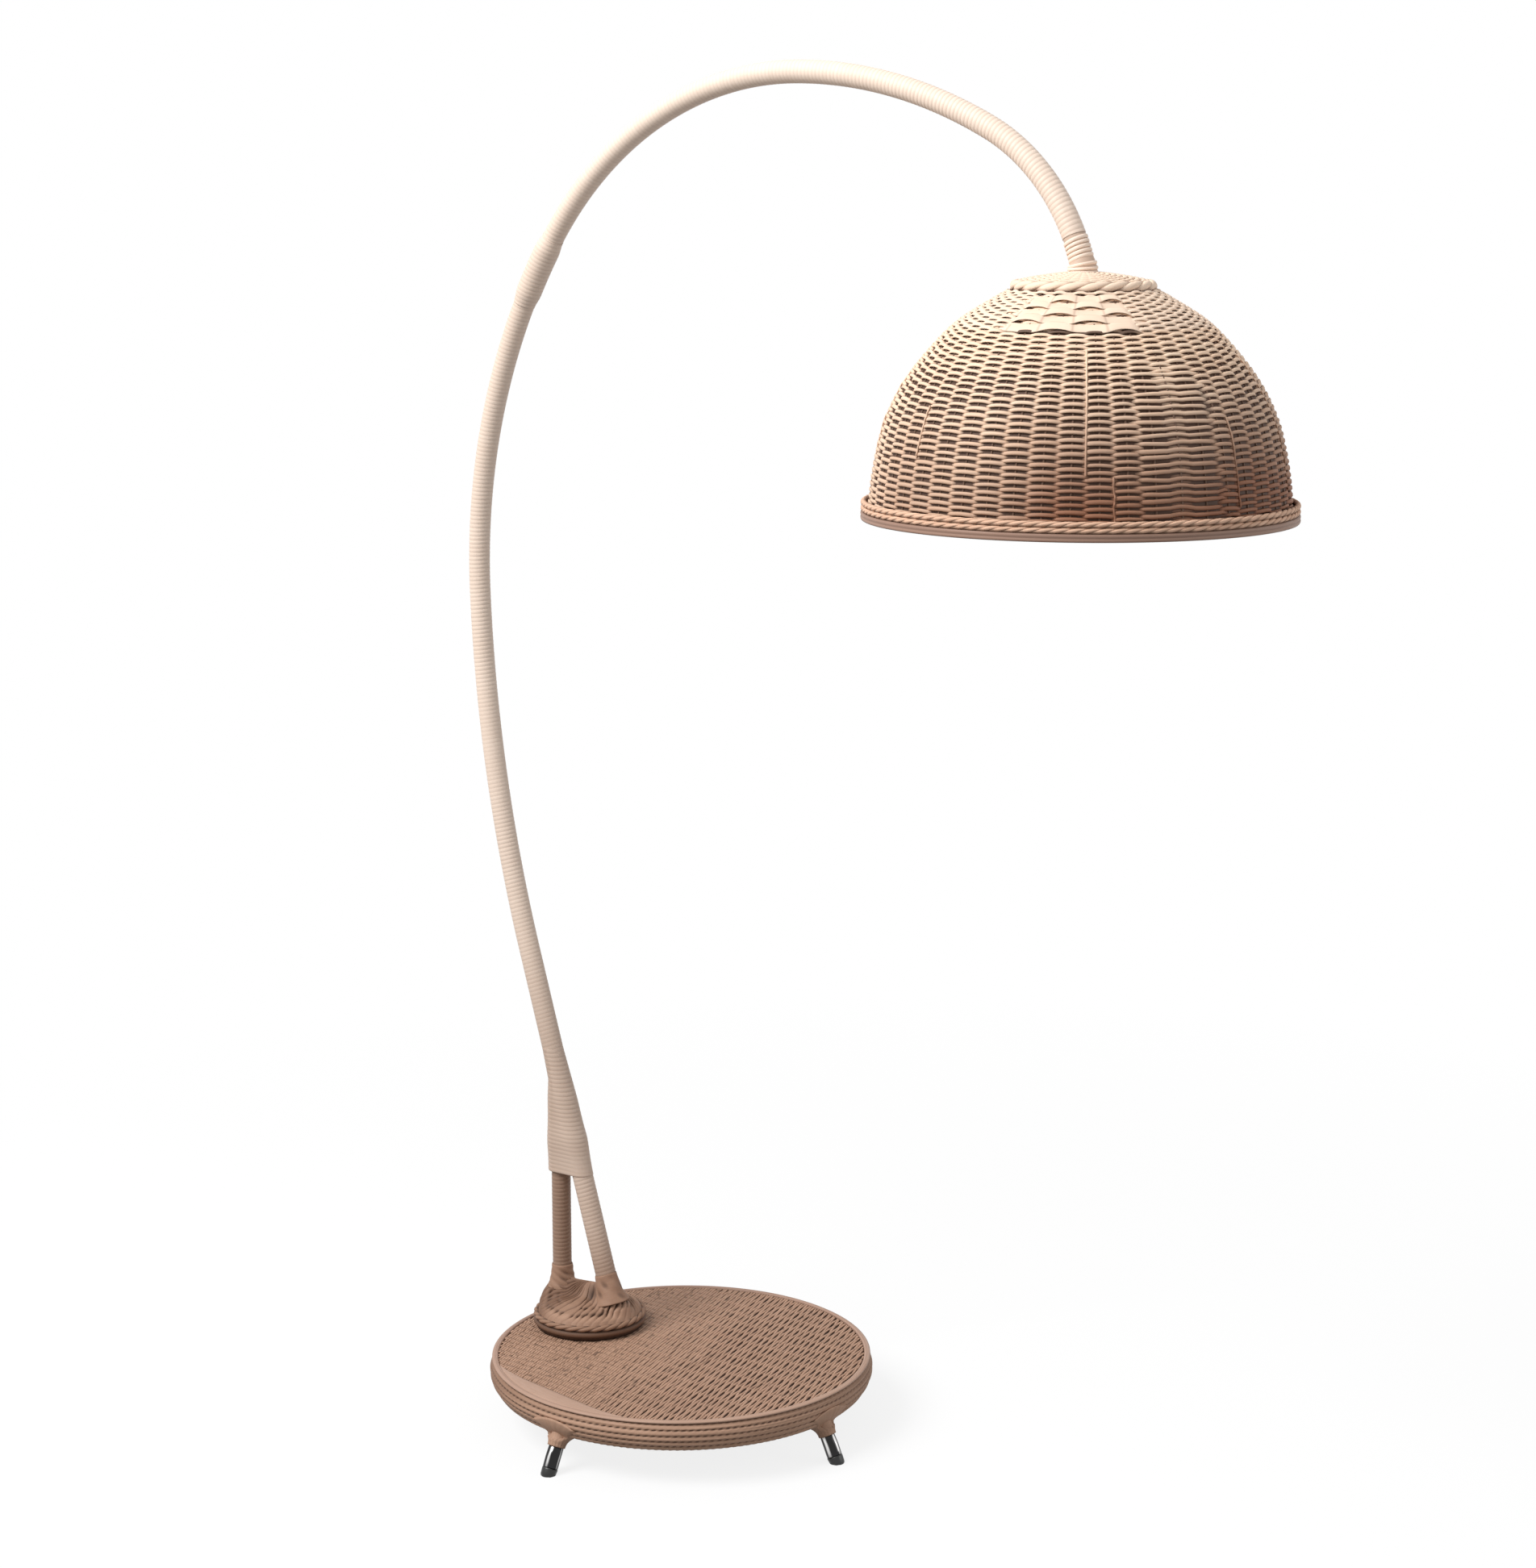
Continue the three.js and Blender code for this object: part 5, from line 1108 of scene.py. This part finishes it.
def boss_height(x, y):
    """Height of the boss over its foot, at places in the row frame."""
    pole_x = ARM_FOOT[0] + 0.045 * math.tan(ARM_FOOT[2])
    along = np.clip((x - STRUT_X) / (pole_x - STRUT_X), 0, 1)
    forms = (
        (np.hypot(x - BOSS_X, y) / BOSS_RADIUS, BOSS_DOME, 1),
        (np.hypot(x - np.clip(x, STRUT_X, pole_x), y), WEB, 1 + WEB_RISE * along**2),
        (np.hypot(x - STRUT_X, y), STRUT_BULGE, 1), (np.hypot(x - pole_x, y), POLE_BULGE, 1))
    total = 0
    for away, profile, rise in forms:
        total = total + np.exp(FORM_SHARPNESS * rise * np.interp(away, *profile.T)) - 1
    return np.log(total + 1) / FORM_SHARPNESS - HOLLOW_DEPTH * hollow_at(x, y)


def make_boss():
    """The mound: strands that lean as they rise, with a ring of small holes. Painted shade darkens
    its grooves, holes and hollow, and browns its left side.
    """
    rings, corners = 130, 460
    share = np.linspace(0.04, 1, rings)[:, None]
    angle = round_angles(corners)[None]
    x = BOSS_X + share * BOSS_RADIUS * np.cos(angle)
    y = share * BOSS_RADIUS * np.sin(angle)
    step = SLOPE_STEP
    slope_x = (boss_height(x + step, y) - boss_height(x - step, y)) / (2 * step)
    slope_y = (boss_height(x, y + step) - boss_height(x, y - step)) / (2 * step)
    normal = unit(np.stack([-slope_x, -slope_y, np.ones_like(slope_x)], -1))
    crooked = 0.5 * drift((1, corners), 23, True) + 0.3 * drift((1, rings), 30).T
    twist = BOSS_TWIST + TWIST_SWING * np.sin(angle - CAMERA_SIDE)
    place = BOSS_STRANDS * (angle - twist * (1 - share)) / FULL_TURN + crooked
    strand = np.floor(place).astype(int) % BOSS_STRANDS
    ridge = np.sqrt(1 - (2 * (place % 1) - 1) ** 2)
    hole_place = HOLE_RING + 0.03 * rng.uniform(-1, 1, BOSS_STRANDS)[strand]
    hole_size = np.clip(rng.uniform(0.1, 1.4, BOSS_STRANDS)[strand], 0, 1)
    near = np.clip(1.6 - ridge * 1.5, 0, 1)
    hole = near * bell(share - hole_place, 0.038) * hole_size
    upper_size = np.clip(rng.uniform(-1.2, 1, BOSS_STRANDS)[strand], 0, 1)
    hole = np.maximum(hole, near * bell(share - UPPER_RING, 0.03) * upper_size)
    relief = np.interp(share, [0, 0.12, 0.3, 0.86, 0.94, 1], [0, 0.3, 1, 1, 0.35, 0.2])
    line = np.interp(share, [0.3, 0.55, 0.75, 1], [0.95, 1.1, 1.6, 1.8])
    sunk = BOSS_RELIEF * relief * (1 - ridge) + HOLE_DEPTH * hole
    points = np.stack([x, y, BOSS_FOOT + boss_height(x, y)], -1) - normal * sunk[..., None]
    wall = points[-1:].copy()
    wall[..., 2] = BOSS_FOOT
    firm = np.interp(share, [0.35, 0.6], [0.8, 0.6])
    # Painted shade in the grooves, the holes and the hollow
    recess = firm * relief * np.clip(1 - line * ridge, 0, 1) + 1.5 * hole + 0.7 * hollow_at(x, y)
    tone = rng.uniform(0, 1, BOSS_STRANDS)[strand]
    stain = 0.5 + 0.25 * drift((1, corners), 40, True) + np.zeros_like(share)
    # Painted shade browns the boss's left side
    stain = stain + 0.45 * bell(from_side(angle, SHADED_SIDE), 0.9)
    stain = np.clip(stain - 0.25 * bell(share - 0.86, 0.06), 0, 1)
    attributes = {"tone": tone, "stain": stain, "along": share * BOSS_RADIUS, "across": place}
    attributes = {key: np.vstack([values, values[-1:]]) for key, values in attributes.items()}
    surface("boss_mound", np.vstack([points, wall]), BASE_CANE, capped=True,
            replaces="boss_weave", slot="base_weave",
            recess=np.clip(np.vstack([recess, np.ones((1, corners))]), 0, 1), **attributes)
    make_foot_sleeve("strut", STRUT_X, 0.0, STRUT_SLEEVE, 1.4)
    make_foot_sleeve("pole", ARM_FOOT[0], ARM_FOOT[2], POLE_SKIRT, 0.8)


def make_foot_sleeve(name, foot_x, lean, outline, turns):
    """A flared sleeve of cane round the strut's or the pole's foot, with slanting folds."""
    corners = 96
    angle = round_angles(corners)
    rings = np.vstack([smooth_line(outline[:-2], 26)[0], outline[-2:]])
    radius, height = rings.T[..., None]
    count = len(rings)
    level = np.linspace(0, 1, count)[:, None]
    slant = angle - turns * math.pi * level
    folds = 0.5 * np.sin(5 * slant + 1.3) + 0.5 * np.sin(3 * slant + 14 * level)
    depth = np.interp(level, [0, 0.1, 0.35, 0.8, 1], [0, 0.3, 1, 0.7, 0.2])
    radius = radius + FOLD_DEPTH * depth * folds
    points = np.stack([
        foot_x + height * math.tan(lean) + radius * np.cos(angle) * math.cos(lean),
        radius * np.sin(angle), BOSS_FOOT + height - radius * np.cos(angle) * math.sin(lean)], -1)
    # Painted shade in the folds and at the sleeve's inner end
    recess = 0.9 * depth * np.clip(-folds - 0.3, 0, 1)
    recess[-3:] = 0.85
    surface(f"{name}_sleeve", points, BASE_CANE, closed=True, slot="base_weave", recess=recess,
            tone=0.4 + 0.3 * drift((count, corners), 20, True), stain=0.5, along=slant * 0.02,
            across=per_ring(np.arange(count) * 0.6))


def make_boss_ropes():
    """A plain coil at the boss's foot, raised off the base's top, a rope on it, and a dark ring of
    painted shadow in the gap under the coil.
    """
    centre, facets = (BOSS_X, 0.0), 180
    revolved("boss_coil", BOSS_BAND, BASE_CANE, centre, facets, replaces="boss_rope_lower",
             slot="base_weave", recess=per_ring(BOSS_BAND_SHADE),
             tone=0.5 + 0.5 * drift((facets,), 9, True), stain=0.95,
             along=round_angles(facets) * 0.075, across=per_ring(np.arange(len(BOSS_BAND))))
    twisted_ring("boss_braid", centre, *BOSS_ROPE, 9, BASE_CANE, 22, 0.4, 1.0,
                 replaces="boss_rope_upper", slot="base_weave", stain=0.6)
    revolved("boss_undercut_shadow", UNDERCUT, PAINTED_SHADOW, centre, facets, slot="base_weave",
             recess=1.0, tone=0.5, stain=0.5, along=0, across=0)


# Feet: (radius, distance up the leaning axis) pairs
FOOT_LEAN, FOOT_REACH, FOOT_FACETS = math.radians(25), 0.262, 72
FOOT_RADIUS, TIP = 0.010, 0.0093
ROD = [(0.0096, TIP), (FOOT_RADIUS, TIP + 0.0006), (FOOT_RADIUS, TIP + 0.006),
       (FOOT_RADIUS, TIP + 0.014), (FOOT_RADIUS, 0.062)]
# Painted shade on each chrome rod, darkest at its tip
ROD_SHADE = [0.9, 0.6, 0.15, 0.0, 0.0]
TIP_CAP = [(0.0080, -0.0049), (0.0095, -0.0026), (0.0101, 0.000), (0.0102, 0.0070),
           (0.0100, 0.0088), (0.0090, 0.0091)]
CUFF_EDGE, CUFF_FLARE, CUFF_START, CUFF_LENGTH = 0.0115, 0.039, 0.0366, 0.026
CUFF_LEVELS, CUFF_STRANDS, CUFF_INSIDE = 14, 18, FOOT_RADIUS + 0.0003
CUFF_RIDGE, CUFF_PROUD = 0.0002, 0.0008
# Painted reflections: bright lines round each chrome rod, by degrees, width in degrees and
# strength
CHROME_REFLECTIONS = [(172, 14, 1.0), (86, 11, 0.9), (0, 8, 0.6), (-75, 14, 1.0), (-125, 8, 0.6)]


def make_feet():
    for k in range(4):
        heading = k * math.pi / 2
        out = np.array([math.cos(heading), math.sin(heading), 0.0])
        side = np.array([-math.sin(heading), math.cos(heading), 0.0])
        axis = UP * math.cos(FOOT_LEAN) - out * math.sin(FOOT_LEAN)
        foot = np.array([BASE_CENTRE[0], BASE_CENTRE[1], 0]) + out * FOOT_REACH
        axes = (foot, axis, side, np.cross(side, axis))
        make_rod(k + 1, axes)
        make_cuff(k + 1, axes)


def along_axis(axes, profile):
    """Rings round a foot's leaning axis."""
    foot, axis, side, square = axes
    angle = round_angles(FOOT_FACETS)[:, None]
    radius, distance = np.array(profile).T[..., None, None]
    return foot + distance * axis + radius * (np.cos(angle) * side + np.sin(angle) * square)


def make_rod(number, axes):
    points = along_axis(axes, ROD)
    points[-1, :, 2] = np.minimum(points[-1, :, 2], box("foot_rod_1")[1][2])
    degrees = 360 * np.arange(FOOT_FACETS) / FOOT_FACETS
    reflection_lines = sum(strength * bell((degrees - place + 180) % 360 - 180, wide)
                 for place, wide, strength in CHROME_REFLECTIONS)
    surface(f"foot_rod_chrome_{number}", points, CHROME, capped=True,
            replaces=f"foot_rod_{number}", slot="chrome", recess=per_ring(ROD_SHADE),
            across=reflection_lines)
    points = along_axis(axes, TIP_CAP)
    points[..., 2] = np.maximum(points[..., 2], 0.0)
    surface(f"foot_tip_rubber_{number}", points, RUBBER, capped=True,
            replaces=f"foot_tip_{number}", slot="rubber")


def make_cuff(number, axes):
    """A flared sleeve of strands, drawn from the base's side down to the chrome rod."""
    t = np.linspace(0, 1, CUFF_LEVELS)
    distance = CUFF_START + t * CUFF_LENGTH
    flare = CUFF_EDGE + (CUFF_FLARE - CUFF_EDGE) * t**2.4
    points = along_axis(axes, np.stack([flare, distance], -1))
    strand = np.sin(CUFF_STRANDS * FULL_TURN * np.arange(FOOT_FACETS) / FOOT_FACETS)
    ring = unit(points - (axes[0] + distance[:, None, None] * axes[1]))
    points = points + ring * (CUFF_RIDGE * strand)[:, None]
    low, high = box("base_side_courses")
    out = np.hypot(points[..., 0] - BASE_CENTRE[0], points[..., 1] - BASE_CENTRE[1])
    share = np.clip((points[..., 2] - low[2]) / (high[2] - low[2]), 0, 1)
    limit = np.where(points[..., 2] > low[2] - 0.002, side_radius(share) + CUFF_PROUD, 1.0)
    scale = np.minimum(1, limit / out)[..., None]
    points[..., :2] = points[..., :2] * scale + (1 - scale) * BASE_CENTRE[:2]
    inner = along_axis(axes, [(CUFF_INSIDE, distance[-1]), (CUFF_INSIDE, distance[0])])
    # Painted shade between the strands
    surface(f"foot_cuff_cane_{number}", np.concatenate([points, inner]), BASE_CANE, closed=True,
            replaces=f"foot_cuff_{number}", slot="cane", recess=0.12 * (strand < 0),
            tone=0.5 + 0.5 * strand, along=per_ring(np.r_[distance, 0, 0]),
            across=np.arange(FOOT_FACETS) / FOOT_FACETS * CUFF_STRANDS)


# Holder and bulb: (radius, distance below the top) pairs
HOLDER_RIB = [(0.020, 0.004), (0.0193, 0.0048), (0.0193, 0.0056), (0.020, 0.0064)]
HOLDER_RIBS, HOLDER_RIB_PITCH = 7, 0.0045
BULB_PEAR = [(0.0115, 0.0), (0.0118, 0.005), (0.0135, 0.012), (0.0185, 0.021), (0.0245, 0.030),
             (0.0285, 0.039), (0.030, 0.0475), (0.0293, 0.056), (0.0262, 0.065), (0.020, 0.0735),
             (0.0115, 0.0785)]
BULB_THREAD = [(0.0131, 0.0058), (0.0131, 0.0067), (0.0122, 0.0076), (0.0122, 0.0085)]
BULB_THREADS, BULB_THREAD_PITCH = 4, 0.0036


def repeated(top, shape, count, pitch):
    return [(radius, top - below - pitch * k) for k in range(count) for radius, below in shape]


def make_holder():
    centre = middle("bulb_glass")
    low, high = (corner[2] for corner in box("holder_body"))
    shell = [(0.0, high), (0.0195, high), (0.020, high - 0.0008),
             *repeated(high, HOLDER_RIB, HOLDER_RIBS, HOLDER_RIB_PITCH),
             (0.020, low + 0.001), (0.0194, low), (0.0148, low), (0.0143, low + 0.001),
             (0.0143, high - 0.015), (0.0, high - 0.015)]
    revolved("holder_shell", shell, PLASTIC, centre, replaces="holder_body",
             slot="black_plastic")
    low, high = (corner[2] for corner in box("bulb_glass"))
    pear = [(0.0, high), *repeated(high, BULB_PEAR, 1, 0), (0.0, low)]
    revolved("bulb_pear", pear, GLASS, centre, 48, body="bulb", replaces="bulb_glass",
             slot="bulb_glass")
    low, high = (corner[2] for corner in box("bulb_cap"))
    cap = [(0.0, high), (0.0048, high), (0.0095, high - 0.003), (0.0128, high - 0.005),
           *repeated(high, BULB_THREAD, BULB_THREADS, BULB_THREAD_PITCH),
           (0.0128, low + 0.003), (0.0128, low), (0.0, low)]
    revolved("bulb_thread", cap, BRASS, centre, 48, body="bulb", replaces="bulb_cap",
             slot="brass")


# Finishes of the CAD nodes that stay in view
NODE_FINISHES = (
    (BOARD, "base_panel base_board"), (IRON, "base_ballast"), (RUBBER, "cable_gland"),
    (STEEL, "base_cross_bars base_hoop foot_flange flange_bolt_1 flange_bolt_2 flange_bolt_3 "
            "flange_bolt_4 strut_tube pole_tube arc_tube joint_coupler joint_screw_lower "
            "joint_screw_upper shade_spider shade_ribs"),
    (BRASS, "end_plug spacer clamp_washer clamp_nut bulb_contact"), (PLASTIC, "lead holder_cap"))


def finish_nodes():
    for material, names in NODE_FINISHES:
        for name in names.split():
            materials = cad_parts[name].data.materials
            materials.clear()
            materials.append(material)


# Stage: what the floor looks like and reflects, and its glow near and far
FLOOR_SEEN, FLOOR_BOUNCE, FLOOR_HALF = 0.93, 0.22, 30.0
GLOW_NEAR, GLOW_FAR, GLOW_RANGE = 0.84, 1.0, (0.6, 2.4)
DOME_STRENGTH = 0.42
LIGHT_AIM = (0.0, 0.0, 0.8)
# Name, place, size in metres and power in watts
LIGHTS = (("key", (-1.6, -3.93, 5.04), 3.2, 410), ("fill", (3.2, 1.8, 1.5), 2.2, 28))


def make_camera():
    data = bpy.data.cameras.new("camera")
    data.lens = CAMERA_LENS
    data.sensor_width = CAMERA_SENSOR
    camera = add_object("camera", data)
    camera.location = CAMERA_PLACE
    camera.rotation_euler = (math.radians(90 - CAMERA_PITCH), 0.0, math.radians(CAMERA_AZIMUTH))
    bpy.context.scene.camera = camera


def seen_ray(nodes):
    """1 for rays from the camera, and those that metal and glass send on."""
    total = nodes.node("LightPath", "Is Camera Ray")
    for other in ("Is Glossy Ray", "Is Transmission Ray"):
        total = nodes.math("MAXIMUM", total, nodes.node("LightPath", other))
    return total


def make_world():
    """White where it is seen, and otherwise dimmer, for the light it gives."""
    world = bpy.data.worlds.new("world")
    bpy.context.scene.world = world
    world.use_nodes = True
    nodes = Nodes(world.node_tree)
    shown = nodes.tree.nodes["Background"]
    nodes.plug(shown.inputs["Color"], (1.0, 1.0, 1.0))
    nodes.plug(shown.inputs["Strength"],
               nodes.ramp(seen_ray(nodes), 0.0, 1.0, DOME_STRENGTH, 1.0))


def make_floor():
    """A pale floor that keeps the lamp's shadow and throws little light up at it."""
    made = Finish("floor")
    seen = seen_ray(made)
    pale = made.mix(made.noise(3.0, 2.0), (FLOOR_SEEN,) * 3, (FLOOR_SEEN - 0.02,) * 3)
    made.set(Base_Color=made.mix(seen, (FLOOR_BOUNCE,) * 3, pale), Roughness=0.9)
    glow = made.node("Emission", Color=(1.0, 1.0, 1.0))
    away = made.node("VectorMath", "Value", {"operation": "LENGTH"}, _0=made.place())
    share = made.math("MULTIPLY", seen, made.ramp(away, *GLOW_RANGE, GLOW_NEAR, GLOW_FAR))
    blend = made.node("MixShader", _0=share, _1=made.shader.outputs[0], _2=glow)
    made.plug(made.tree.nodes["Material Output"].inputs["Surface"], blend)
    mesh = bpy.data.meshes.new("floor")
    corners = [(x * FLOOR_HALF, y * FLOOR_HALF, 0)
               for x, y in ((-1, -1), (1, -1), (1, 1), (-1, 1))]
    mesh.from_pydata(corners, [], [(0, 1, 2, 3)])
    mesh.materials.append(made.material)
    add_object("floor", mesh)


def make_light(name, place, size, power):
    data = bpy.data.lights.new(name, "AREA")
    data.size = size
    data.energy = power
    lamp = add_object(name, data)
    lamp.location = place
    x, y, z = np.array(LIGHT_AIM) - np.array(place)
    lamp.rotation_euler = (
        math.atan2(math.hypot(x, y), -z), 0.0, math.atan2(y, x) - math.pi / 2)


make_camera()
make_floor()
make_world()
for light in LIGHTS:
    make_light(*light)
bpy.context.scene.view_settings.view_transform = "Standard"

make_wraps()
make_neck()
make_collar()
make_shade_weave()
make_weave_shadow_sheet()
make_shade_stakes()
make_crown()
make_shade_edges()
make_rim_band()
make_cap()
make_base_side()
make_base_rim()
make_base_top()
make_boss()
make_boss_ropes()
make_feet()
make_holder()
finish_nodes()
